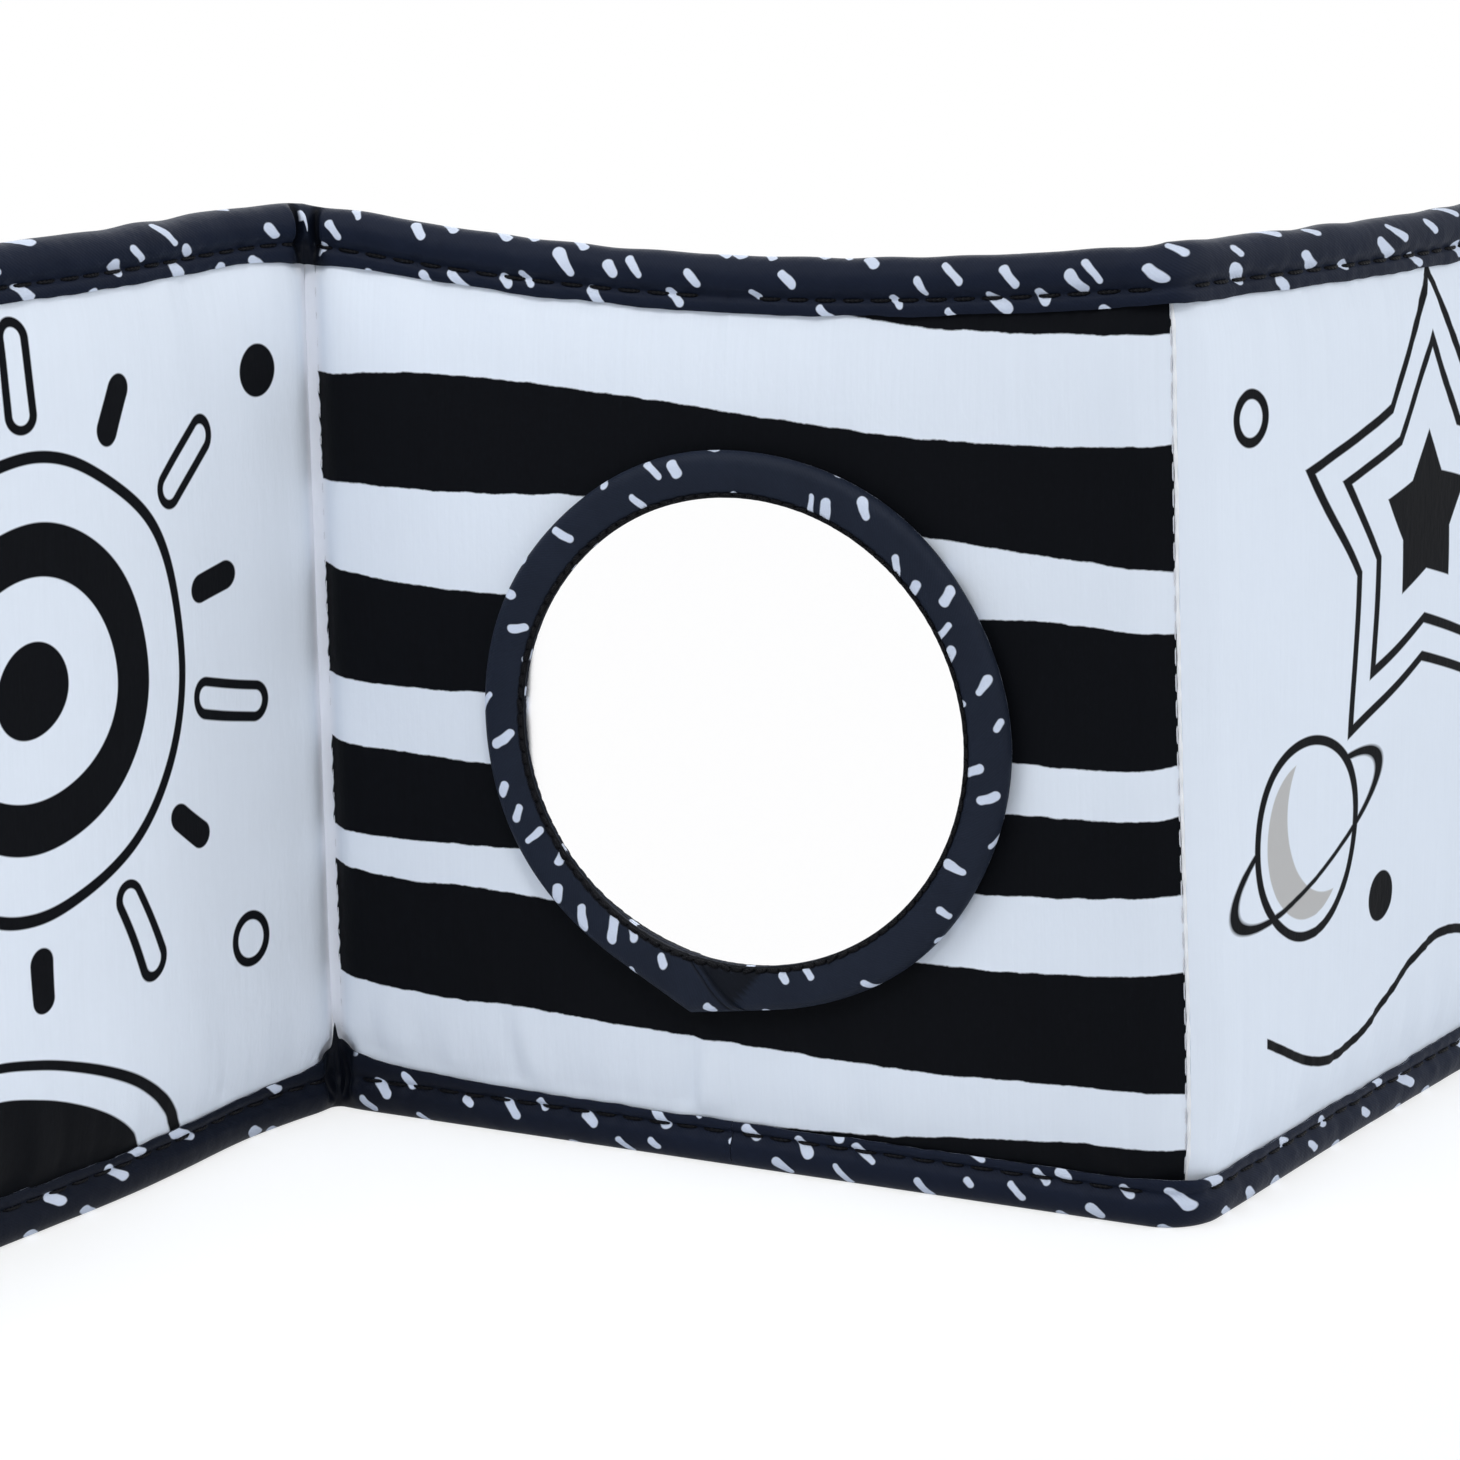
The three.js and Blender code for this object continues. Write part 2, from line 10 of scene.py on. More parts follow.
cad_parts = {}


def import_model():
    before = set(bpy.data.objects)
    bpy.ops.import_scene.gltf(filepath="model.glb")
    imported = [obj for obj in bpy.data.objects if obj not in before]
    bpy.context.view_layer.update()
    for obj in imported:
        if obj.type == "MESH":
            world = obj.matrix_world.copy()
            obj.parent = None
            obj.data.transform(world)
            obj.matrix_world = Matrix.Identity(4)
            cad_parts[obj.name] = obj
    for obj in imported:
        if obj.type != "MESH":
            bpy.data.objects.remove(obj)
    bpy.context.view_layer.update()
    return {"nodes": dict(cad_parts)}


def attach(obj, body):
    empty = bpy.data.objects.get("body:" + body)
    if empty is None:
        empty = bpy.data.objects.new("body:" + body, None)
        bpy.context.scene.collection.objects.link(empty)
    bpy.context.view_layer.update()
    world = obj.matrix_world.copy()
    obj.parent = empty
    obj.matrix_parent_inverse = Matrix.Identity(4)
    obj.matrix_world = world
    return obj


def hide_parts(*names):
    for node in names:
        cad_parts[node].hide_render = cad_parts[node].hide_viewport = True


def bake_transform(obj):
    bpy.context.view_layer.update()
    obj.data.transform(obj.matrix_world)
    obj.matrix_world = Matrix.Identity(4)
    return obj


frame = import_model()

# Lengths are millimetres until a point is placed, and the book's own sizes are those of its frame.
MM = 0.001
PAGE_WIDTH, PAGE_HEIGHT = 176.0, 180.0
HALF_WIDTH, MID_HEIGHT = PAGE_WIDTH / 2, PAGE_HEIGHT / 2
PAGE_TURN = math.radians(78)
CORNER_RADIUS = 14.0
BASE_CUT = 0.5
# Half a page's thickness in its middle, what the outer pages have more, and its rise from the tape
PAGE_SWELL, OUTER_CROWN = 4.6, 0.6
PILLOW_FOOT, PILLOW_REACH = 2.1, 20.0
# How far the pages' top edges sag, and how far their free ends are drawn in
LEFT_SAG, MIDDLE_SAG, RIGHT_SAG, END_DRAW = 0.9, 6.8, 2.2, 1.6
# How the folds lean, and how the left page bows
LEFT_LEAN, RIGHT_LEAN, FOOT_OUT = 0.012, 0.021, 1.3
BOW_OUT, BOW_BACK = 2.5, 1.3

# The binding tape's section, by depth from the page's outline
TAPE_DEPTH = 10.2
TAPE_SWELL, NOSE_DEPTH = 3.8, 4.1
GROOVE_DEPTH, GROOVE_HALF = 7.4, 2.5
LIP_HALF, LIP_EDGE_HALF = 3.05, 2.75
TAPE_CLOTH = 0.55
STITCH_PITCH = 5.7

# The folds: the padding's half thickness beside them, the tape's bend round them, and the reach of a blend
FOLD_SWELL, FOLD_REACH, LEAST_PINCH = 4.0, 9.0, 0.36
LEFT_BEND, RIGHT_BEND = 3.2, 7.0
BLEND_REACH = 20.0
# Their stitches: the spacing, and how far they lie from the fold on its inner and its outer side
STITCH_GAP = 4.7
VALLEY_STITCH, RIDGE_STITCH = 2.9, 0.42
SEAM_ENDS, SEAM_STITCHES = (8.0, 170.8), 12.2 + STITCH_GAP * np.arange(34)

MIRROR_X, MIRROR_Z, MIRROR_PLANE, SHEET_RADIUS = 3.5, 86.0, 6.6, 50.5
RIM_RADIUS, RIM_WIDTH, RIM_GROOVE, RIM_PITCH = 52.7, 8.6, 7.95, 2.9
SIDE_NAME = {-1: "left", 1: "right"}


def ease(t):
    t = np.clip(t, 0.0, 1.0)
    return t * t * (3 - 2 * t)


def between(value, start, full):
    return ease((np.asarray(value, float) - start) / (full - start))


def dome(depth, reach):
    """A quarter circle that rises from 0 to 1."""
    return np.sqrt(1 - (1 - np.clip(depth / reach, 0, 1)) ** 2)


def bell(value, width):
    return np.exp(-((value / width) ** 2))


def ripple(value, wavelength, seed):
    """A smooth irregular wave between about -1 and 1, the same on every run."""
    rng = np.random.default_rng(seed)
    total = 0.0
    for _ in range(5):
        pace = rng.uniform(0.62, 1.5) * math.tau / wavelength
        total = total + np.sin(value * pace + rng.uniform(0, math.tau))
    return total / 3.2


def circle(count):
    """The angles of points evenly spread round a circle."""
    return np.arange(count) * math.tau / count


def link(name, data):
    made = bpy.data.objects.new(name, data)
    bpy.context.scene.collection.objects.link(made)
    return made


class Value:
    """A socket that can be used in arithmetic."""

    def __init__(self, graph, socket):
        self.graph, self.socket = graph, socket

    __add__ = __radd__ = lambda self, other: self.graph.math("ADD", self, other)
    __sub__ = lambda self, other: self.graph.math("SUBTRACT", self, other)
    __rsub__ = lambda self, other: self.graph.math("SUBTRACT", other, self)
    __mul__ = __rmul__ = lambda self, other: self.graph.math("MULTIPLY", self, other)
    __truediv__ = lambda self, other: self.graph.math("DIVIDE", self, other)
    __abs__ = lambda self: self.graph.math("ABSOLUTE", self)


class Graph:
    """A material's or the world's node tree, built from expressions."""

    def __init__(self, name, owners=bpy.data.materials, output="ShaderNodeOutputMaterial"):
        self.owner = owners.new(name)
        self.owner.use_nodes = True
        self.tree = self.owner.node_tree
        self.tree.nodes.clear()
        self.out = self.node(output)

    def node(self, kind, **settings):
        made = self.tree.nodes.new(kind)
        for key, value in settings.items():
            setattr(made, key, value)
        return made

    def fill(self, made, *values, **named):
        """Feeds a node's inputs, in their order or by name, and gives its first output."""
        pairs = list(zip(made.inputs, values))
        pairs += [(made.inputs[key.replace("_", " ")], value) for key, value in named.items()]
        for socket, value in pairs:
            if isinstance(value, Value):
                self.tree.links.new(value.socket, socket)
            else:
                socket.default_value = value[:3] if socket.type == "VECTOR" else value
        return Value(self, made.outputs[0]) if made.outputs else None

    def new(self, kind, *values, **named):
        return self.fill(self.node(kind), *values, **named)

    def math(self, operation, *values, clamp=False):
        return self.fill(self.node("ShaderNodeMath", operation=operation, use_clamp=clamp), *values)

    def high(self, *values):
        """The highest of several values."""
        return functools.reduce(lambda a, b: self.math("MAXIMUM", a, b), values)

    def clamp(self, a):
        return self.math("ADD", a, 0.0, clamp=True)

    def inside(self, distance, soft=0.3):
        """1 where a signed distance is negative, with a soft edge."""
        return self.math("SUBTRACT", 0.5, distance / soft, clamp=True)

    def length(self, x, y):
        return self.math("SQRT", x * x + y * y)

    def modulo(self, a, b):
        return self.math("FLOORED_MODULO", a, b)

    def parts(self, socket):
        """The three numbers of a vector or a colour."""
        made = self.node("ShaderNodeSeparateXYZ")
        self.fill(made, Value(self, socket))
        return [Value(self, part) for part in made.outputs]

    def attribute(self, name):
        return self.parts(self.node("ShaderNodeAttribute", attribute_name=name).outputs["Vector"])

    def vector(self, x, y, z=0.0):
        return self.new("ShaderNodeCombineXYZ", x, y, z)

    def noise_at(self, vector, scale=1.0, detail=2.0, rough=0.5):
        made = self.node("ShaderNodeTexNoise")
        self.fill(made, Vector=vector, Scale=scale, Detail=detail, Roughness=rough)
        return Value(self, made.outputs["Fac"]) - 0.5

    def noise(self, x, y, *settings):
        return self.noise_at(self.vector(x, y), *settings)

    def curve(self, value, knots):
        """A smooth curve through knots, which are places across the middle page and heights on it."""
        made = self.node("ShaderNodeFloatCurve")
        points = made.mapping.curves[0].points
        while len(points) < len(knots):
            points.new(0.5, 0.5)
        for point, (place, height) in zip(points, knots):
            point.location = (place / PAGE_WIDTH + 0.5, height / PAGE_HEIGHT)
            point.handle_type = "AUTO"
        made.mapping.update()
        return self.fill(made, Value=value / PAGE_WIDTH + 0.5) * PAGE_HEIGHT

    def blend_colors(self, factor, a, b):
        made = self.node("ShaderNodeMix", data_type="RGBA")
        self.fill(made, Factor=factor, A=a, B=b)
        return Value(self, made.outputs["Result"])

    def tint(self, color, factor):
        """A colour made lighter or darker by a factor."""
        return self.fill(self.node("ShaderNodeVectorMath", operation="SCALE"), color, Scale=factor)

    def bump(self, height, strength=1.0):
        """A normal from a height in millimetres."""
        return self.new("ShaderNodeBump", Strength=strength, Distance=MM, Height=height)

    def rays(self, *kinds):
        """1 for rays of any of those kinds."""
        outputs = self.node("ShaderNodeLightPath").outputs
        return self.high(*(Value(self, outputs[f"Is {kind} Ray"]) for kind in kinds))

    def surface(self, color, normal, **values):
        made = self.new("ShaderNodeBsdfPrincipled", Base_Color=color, Normal=normal, **values)
        self.fill(self.out, Surface=made)
        return self.owner


def srgb(red, green, blue):
    def linear(value):
        value /= 255
        return value / 12.92 if value <= 0.04045 else ((value + 0.055) / 1.055) ** 2.4

    return (linear(red), linear(green), linear(blue), 1.0)


WHITE_CLOTH = srgb(230, 236, 245)
# the unpadded cloth in a fold's valley, made paler as painted light
VALLEY_PAINTED_LIGHT = srgb(242, 244, 250)
INK = srgb(4, 6, 11)
GREY_INK = srgb(190, 188, 186)
NAVY, SLATE = srgb(17, 24, 40), srgb(27, 33, 46)
DASH = srgb(208, 216, 232)


# The stripes' edges, picked in the photo: places across the middle page and heights on it. The last
# of each list is a wedge's edge: of the one along the bottom, and of the one along the top.
STRIPE_TOPS = [
    [(-88, 148.6), (-80, 149.1), (-65, 151.8), (-46, 153.4), (-21, 153.3), (11, 150.9), (42, 147.7)]
    + [(88, 145)],
    [(-88, 111.8), (-79, 110.5), (-59, 110), (-30, 111.2), (48, 113.3), (64, 113.4), (80, 111.7)]
    + [(88, 111)],
    [(-88, 76.8), (-79, 75.8), (-65, 75.4), (-48, 75), (10, 75.4), (68, 76.3), (83, 76.7), (88, 77.4)],
    [(-88, 51.8), (-79, 50.6), (-68, 49.6), (-54, 49.9), (-34, 49), (0, 47.2), (38, 45.6), (69, 46.8)]
    + [(88, 48.6)],
    [(-88, 1), (-20, 7.4), (-6, 8.5), (15, 9.4), (32, 10.6), (46, 12.3), (64, 14.3), (77, 15), (88, 15.2)],
]
STRIPE_BOTTOMS = [
    [(-88, 127.6), (-78, 128), (-46, 130.9), (-30, 132.7), (2, 132.4), (33, 130.1), (64, 125.9)]
    + [(88, 122.2)],
    [(-88, 89.8), (-80, 88.9), (-64, 88.9), (-50, 89.6), (10, 88.4), (68, 85.7), (82, 86), (88, 86.8)],
    [(-88, 58.9), (-79, 58), (-67, 57.7), (-42, 58.5), (10, 59.6), (52, 60), (69, 61.2), (88, 63)],
    [(-88, 28.8), (-57, 26.6), (-44, 27), (-32, 26.3), (-3, 25.4), (40, 24.6), (67, 25.7), (88, 25.9)],
    [(-88, 178), (0, 175), (18, 171), (26, 169.7), (39, 167.8), (52, 166.9), (83, 164.8), (88, 164.5)],
]


def stripes(g, x, z):
    """Four hand-drawn bands across the page and two wedges along its bindings."""
    place = z + (g.noise(x, z, 0.22, 2.0) * 0.9 + g.noise(x, z, 1.3, 1.0) * 0.22)
    below = [place - g.curve(x, knots) for knots in STRIPE_TOPS]
    above = [g.curve(x, knots) - place for knots in STRIPE_BOTTOMS]
    bands = [g.inside(g.high(*sides)) for sides in zip(below[:4], above[:4])]
    wedges = [g.inside(below[4]), g.inside(above[4])]
    scallops = g.math("SINE", z * (math.tau / STITCH_GAP)) * 0.22
    return g.high(*bands, *wedges) * g.inside(scallops - x - (HALF_WIDTH - VALLEY_STITCH)), None


def sun(g, x, z):
    """A ringed sun over two hills, in bold line work."""
    wobble = g.noise(x, z, 0.03, 0.0)
    px = x - 4.0 + wobble * 5.0
    pz = z - 101.0 + g.noise(z, x, 0.03, 0.0) * 5.0
    radius = g.length(px, pz)
    angle = g.math("ARCTAN2", pz, px)
    sector = math.tau / 14
    turn = g.modulo(angle, sector) - sector / 2
    across = abs(g.math("SINE", turn) * radius)
    along = g.math("COSINE", turn) * radius
    odd = g.modulo(g.math("FLOOR", g.modulo(angle, math.tau) / sector), 2.0)
    spoke = g.length(across, g.high(along - (56.0 + odd * 7.0), 49.0 - along, 0.0)) - 2.9
    hill = g.length((x + 22.0) / 1.9, z - 2.0) + wobble * 3.0
    ink = g.high(
        g.inside(abs(radius - 41.0) - 1.1),
        g.inside(abs(radius - 25.5) - 4.6),
        g.inside(radius - 9.0),
        g.inside(abs(spoke) - 0.9) * odd,
        g.inside(spoke) * (1.0 - odd),
        g.inside(hill - 27.0),
        g.inside(abs(hill - 33.0) - 0.9),
        g.inside(g.length(x - 70.0, z - 150.0) - 5.0),
        g.inside(abs(g.length(x - 62.0, z - 41.0) - 4.6) - 0.9),
    )
    return ink, None


def star(g, x, z):
    """A nested star, a ringed planet with a grey crescent, and a curling tail."""
    px = x + 6.0 + g.noise(x, z, 0.03, 0.0) * 4.0
    pz = z - 122.0 + g.noise(z, x, 0.03, 0.0) * 4.0
    radius = g.length(px, pz)
    sector = math.tau / 5
    turn = abs(g.modulo(g.math("ARCTAN2", px, pz) + sector / 2, sector) - sector / 2)
    sx, sy = g.math("SINE", turn) * radius, g.math("COSINE", turn) * radius

    def edge(outer):
        """Signed distance to a plump star of that outer radius."""
        inner = outer * 0.6
        bx, by = inner * math.sin(sector / 2), inner * math.cos(sector / 2)
        nx, ny = outer - by, bx
        size = math.hypot(nx, ny)
        return sx * (nx / size) + sy * (ny / size) - outer * ny / size

    qx, qz = x + 50.0, z - 66.0
    planet = g.length(qx, qz) + g.noise(x, z, 0.04, 0.0) * 3.0
    grey = g.inside(planet - 15.5) * g.inside(17.0 - g.length(qx - 9.0, qz - 5.0))
    tilt_x, tilt_z = qx * 0.94 + qz * 0.34, qz * 0.94 - qx * 0.34
    orbit = g.inside(abs(g.length(tilt_x / 3.2, tilt_z) - 9.0) - 0.55)
    behind = g.inside(abs(planet) - 18.0) * g.inside(tilt_z * -1.0)
    tail = z - 27.0 - g.math("SINE", x * 0.07 + 1.0) * 7.0
    ink = [
        g.inside(abs(edge(47.0)) - 1.0),
        g.inside(abs(edge(34.0)) - 1.0),
        g.inside(edge(17.0)),
        g.inside(abs(planet - 19.0) - 1.0),
        orbit * (1.0 - behind),
        g.inside(abs(tail) - 1.0) * g.inside(-66.0 - x),
    ]
    for cx, cz, size in ((-70.0, 148.0, 4.4), (-20.0, 48.0, 5.0), (64.0, 58.0, 6.0), (66.0, 152.0, 4.4)):
        ring = g.length(x - cx, z - cz) - size
        ink.append(g.inside(abs(ring) - 0.95) if size < 5 else g.inside(ring))
    return g.high(*ink), grey


def dots(g, x, z):
    row = g.math("FLOOR", z / 30.0)
    px = g.modulo(x + g.modulo(row, 2.0) * 18.0, 36.0) - 18.0
    pz = g.modulo(z, 30.0) - 15.0
    return g.inside(g.length(px, pz) + g.noise(x, z, 0.05, 0.0) * 3.0 - 9.0), None


def chevrons(g, x, z):
    slope = abs(g.modulo(x, 44.0) - 22.0)
    band = g.modulo(z + slope * 0.9 + g.noise(x, z, 0.03, 0.0) * 5.0, 30.0)
    return g.inside(abs(band - 15.0) - 7.5), None


def rings(g, x, z):
    radius = g.length(x, z - 90.0) + g.noise(x, z, 0.025, 0.0) * 6.0
    return g.inside(abs(g.modulo(radius, 24.0) - 12.0) - 6.0), None


def printed_cloth(artwork, valley=0):
    """White woven cloth with a print, in the page's own flat millimetres. It is thin. In a fold's valley,
    where the cloth is unpadded, it is painted paler as painted light."""
    g = Graph("print_" + artwork.__name__)
    x, z, _ = g.attribute("flat")
    ink, grey = artwork(g, x, z)
    streaks = g.noise(x * 1.6, z * 0.035, 1.0, 3.0, 0.6)
    cloudy = g.noise(x, z, 0.03, 2.0)
    shade = 1.0 + streaks * 0.05 + cloudy * 0.04
    white = g.tint(WHITE_CLOTH, shade)
    if valley:
        # painted light: the unpadded cloth within about 5 mm of the valley's fold turns paler
        painted_valley_light = g.clamp((5.0 - abs(x - valley * HALF_WIDTH)) / 2.5)
        white = g.blend_colors(painted_valley_light, white, g.tint(VALLEY_PAINTED_LIGHT, shade))
    color = white if grey is None else g.blend_colors(grey, white, GREY_INK)
    color = g.blend_colors(ink, color, g.tint(INK, 1.0 + streaks * 0.5))
    weave = g.math("SINE", x * 14.0) * g.math("SINE", z * 14.0)
    crumple = g.noise(x * 0.5, z * 0.22, 1.0, 3.0, 0.55)
    height = weave * 0.004 + streaks * 0.035 + crumple * 0.16
    finish = dict(Specular_IOR_Level=0.07, Sheen_Weight=0.02, Sheen_Roughness=0.5)
    return g.surface(color, g.bump(height, 0.8), Roughness=0.8 - ink * 0.06, **finish)


DASH_GAP, DASH_STRETCH = 6.4, 1.6


def binding_cloth(name, ground, lean, spread):
    """Dark twill tape with scattered hand-drawn white dashes, in millimetres along and across it."""
    g = Graph(name)
    # under, the attribute's third channel, is painted shade: it darkens the twill, and where it is deep it
    # wipes out the dashes and makes the ones that stay a little paler
    s, t, under = g.attribute("tape")
    warp_x = s + g.noise(s, t, 0.4, 0.0) * 0.5
    warp_y = t + g.noise(t, s, 0.4, 0.0) * 0.5
    c, d = math.cos(lean), math.sin(lean)
    along = (warp_x * c + warp_y * d) / DASH_STRETCH
    across = warp_x * -d + warp_y * c
    cells = g.node("ShaderNodeTexVoronoi", voronoi_dimensions="2D")
    g.fill(cells, Vector=g.vector(along, across), Scale=1 / DASH_GAP, Randomness=0.62)
    centre_a, centre_b, _ = g.parts(cells.outputs["Position"])
    r1, r2, r3 = g.parts(cells.outputs["Color"])
    a, b = (along - centre_a) * DASH_STRETCH, across - centre_b
    tilt = (r3 - 0.5) * spread
    a, b = a + b * tilt, b - a * tilt
    half = 0.45 + r1 * 2.0
    width = 0.6 + r2 * 0.48 + a * (r3 - 0.5) * 0.2
    distance = g.length(g.high(abs(a) - half, 0.0), b) - width
    dash = g.inside(distance, 0.22) * g.inside(0.1 - r2, 0.01)
    twill = g.math("SINE", (s + t) * 9.5)
    fuzz = g.noise(s, t, 2.4, 3.0)
    patches = g.noise(s, t, 0.1, 2.0)
    dark = g.tint(ground, (1.0 + twill * 0.07 + fuzz * 0.25 + patches * 0.35) * (1.0 - under * 0.85))
    deep_painted_shade = g.clamp((under - 0.5) * 4.0)
    color = g.blend_colors(dash * (1.0 - deep_painted_shade), dark, g.tint(DASH, 1.0 + fuzz * 0.12 + under * 0.2))
    creases = g.noise(s * 0.55, t * 0.3, 1.0, 3.0)
    finish = dict(Roughness=0.56, Specular_IOR_Level=0.09, Sheen_Weight=0.04, Sheen_Roughness=0.45)
    normal = g.bump(twill * 0.012 + fuzz * 0.03 + creases * 0.3, 0.75)
    return g.surface(color, normal, Sheen_Tint=srgb(150, 165, 195), **finish)


def thread(name, color, roughness):
    g = Graph(name)
    s, t, _ = g.attribute("tape")
    ply = g.math("SINE", s * 11.0 + t * 3.0)
    # the colour rises and falls with the twist: painted light and shade on the plies
    color = g.tint(color, 1.0 + ply * 0.16)
    return g.surface(color, g.bump(ply * 0.05), Roughness=roughness, Specular_IOR_Level=0.1)


def seam_cloth():
    g = Graph("seam_cloth")
    s, t, _ = g.attribute("tape")
    gathers = g.math("SINE", s * 1.34)
    fuzz = g.noise(s, t, 1.4, 3.0)
    # the colour rises and falls with the gathers: painted shade and light along their folds
    color = g.tint(srgb(238, 238, 240), 1.0 + gathers * 0.03 + fuzz * 0.08)
    return g.surface(color, g.bump(gathers * 0.08 + fuzz * 0.06), Roughness=0.8, Sheen_Weight=0.2)


def mirror_film():
    g = Graph("mirror_film")
    x, z, _ = g.attribute("flat")
    film = g.noise(x, z, 0.05, 1.0) * 0.05
    haze = g.noise(x, z, 0.4, 3.0)
    color = g.tint((0.99, 0.99, 0.995, 1.0), 1.0 + haze * 0.01)
    return g.surface(color, g.bump(film, 0.6), Metallic=1.0, Roughness=0.045 + haze * 0.02)


def foam():
    g = Graph("foam")
    place = g.node("ShaderNodeTexCoord").outputs["Object"]
    cells = g.noise_at(Value(g, place), 900.0, 3.0)
    return g.surface(g.tint(srgb(240, 237, 230), 1.0 + cells * 0.2), g.bump(cells * 0.3), Roughness=0.95)


def fold_fullness(distance):
    """Half the thickness that the padding may have at a distance from a fold."""
    rise = FOLD_SWELL * np.sin(np.clip(distance / FOLD_REACH, 0, 1) * math.pi / 2)
    return rise + (PAGE_SWELL - FOLD_SWELL) * between(distance, FOLD_REACH, 24)


def in_valley(side, face):
    """Whether that face of the book is on the inner side of that fold. Face -1 is the front."""
    return (side < 0) == (face < 0)


def end_gap(z):
    """How far a height is from the page's nearer end, its top or its bottom."""
    return np.minimum(z + BASE_CUT, PAGE_HEIGHT - z)


def pinch(distance):
    """The share of its thickness that the tape has room for at a distance from a fold."""
    return np.clip(fold_fullness(distance) / TAPE_SWELL, LEAST_PINCH, 1.0)


def tape_half(depth):
    """Half the tape's thickness: a round nose, a full edge, the stitch groove, a flat lip."""
    depth = np.asarray(depth, float)
    nose = TAPE_SWELL * dome(depth, NOSE_DEPTH)
    fall = (TAPE_SWELL - GROOVE_HALF) * between(depth, NOSE_DEPTH + 0.6, GROOVE_DEPTH) ** 1.6
    lip = (LIP_HALF - GROOVE_HALF) * between(depth, GROOVE_DEPTH, GROOVE_DEPTH + 1.0)
    edge = (LIP_HALF - LIP_EDGE_HALF) * between(depth, TAPE_DEPTH - 0.7, TAPE_DEPTH)
    return nose - fall + lip - edge


def lean(u, z):
    """The fold lines lean over a little towards their tops. The right one also stands out at its foot."""
    gap = np.abs(u) - HALF_WIDTH
    reach = bell(gap, np.where(gap < 0, 62, 42))
    right = RIGHT_LEAN * (z - 30 + np.sqrt((z - 30) ** 2 + 300)) - FOOT_OUT * between(z, 110, 0)
    return -reach * np.where(u < 0, LEFT_LEAN * z, right)


def bow(u):
    """How far the left page bows out of its plane: back beside the fold, and forward further on."""
    gap = np.where(u < -HALF_WIDTH, -u - HALF_WIDTH, 0)
    return (BOW_OUT * between(gap, 24, 72) - BOW_BACK * bell(gap - 24, 18)) * between(gap, 0, 12)


def place_flat(u, n, z):
    """The place of a point of the unfolded book: u along it from the middle page's centre, n out of
    its front, z up. The folds are bent round a small radius."""
    u, n, z = np.broadcast_arrays(*(np.asarray(a, float) for a in (u, n + bow(u), z)))
    side = np.where(u < 0, -1.0, 1.0)
    along = np.abs(u)
    sharper = between(end_gap(z), 2.5, 9.0)
    bend = np.where(u < 0, LEFT_BEND, RIGHT_BEND + (LEFT_BEND - RIGHT_BEND) * sharper)
    start = HALF_WIDTH - bend
    radius = bend / math.tan(PAGE_TURN / 2)
    turn = PAGE_TURN * np.clip((along - start) / (2 * bend), 0, 1)
    beyond = np.maximum(along - start - 2 * bend, 0)
    inner = np.minimum(along, start)
    mid_x = side * (inner + radius * np.sin(turn) + beyond * np.cos(turn))
    mid_y = side * (radius * (1 - np.cos(turn)) + beyond * np.sin(turn))
    x = mid_x + n * np.sin(turn) + lean(u, z)
    y = mid_y - n * np.cos(turn)
    return np.stack([x, y, z], -1) * MM


def page_of(u):
    """A point's place on its own page, its distance from the fold, and whether the page is an outer one."""
    along = np.abs(u)
    outer = along > HALF_WIDTH
    return np.where(outer, np.sign(u) * (along - PAGE_WIDTH), u), np.abs(along - HALF_WIDTH), outer


def warp(u, z):
    """The drawing-in of the cloth between its corners."""
    local, fold, outer = page_of(u)
    along = np.clip(local / PAGE_WIDTH + 0.5, 0, 1)
    up = np.clip(z / PAGE_HEIGHT, 0, 1)
    sag = np.where(outer, np.where(u < 0, LEFT_SAG, RIGHT_SAG), MIDDLE_SAG) * 4 * along * (1 - along)
    sag = sag * between(up, 0.3, 0.9)
    draw = np.where(outer, END_DRAW * 4 * up * (1 - up) * between(fold / PAGE_WIDTH, 0.5, 0.9), 0)
    dip = np.where(u < 0, 0.8 * bell(fold, 7), 1.0 * bell(fold, 34) + 0.4 * bell(fold, 6))
    dip = dip * between(up, 0.3, 0.95)
    return u - np.sign(u) * draw, z - sag - dip


def outline_depth(u, z):
    """How far a point lies inside its page's outline."""
    _, fold, outer = page_of(u)
    end = end_gap(z)
    side = np.where(outer, PAGE_WIDTH - fold, 1e3)
    cornered = (side < CORNER_RADIUS) & (end < CORNER_RADIUS)
    corner = CORNER_RADIUS - np.hypot(CORNER_RADIUS - side, CORNER_RADIUS - end)
    return np.where(cornered, corner, np.minimum(side, end))


def foot_rise(gap):
    """How far the tape's lip is drawn up at the foot of a fold's valley: a spike with a shoulder."""
    spread = np.where(gap < 0, 4.2 * np.exp(gap / 17), 4.2 * np.exp(-gap / 7))
    return 3.8 * bell(gap, 0.85) + spread + 1.1 * bell(gap + 2.8, 1.8)


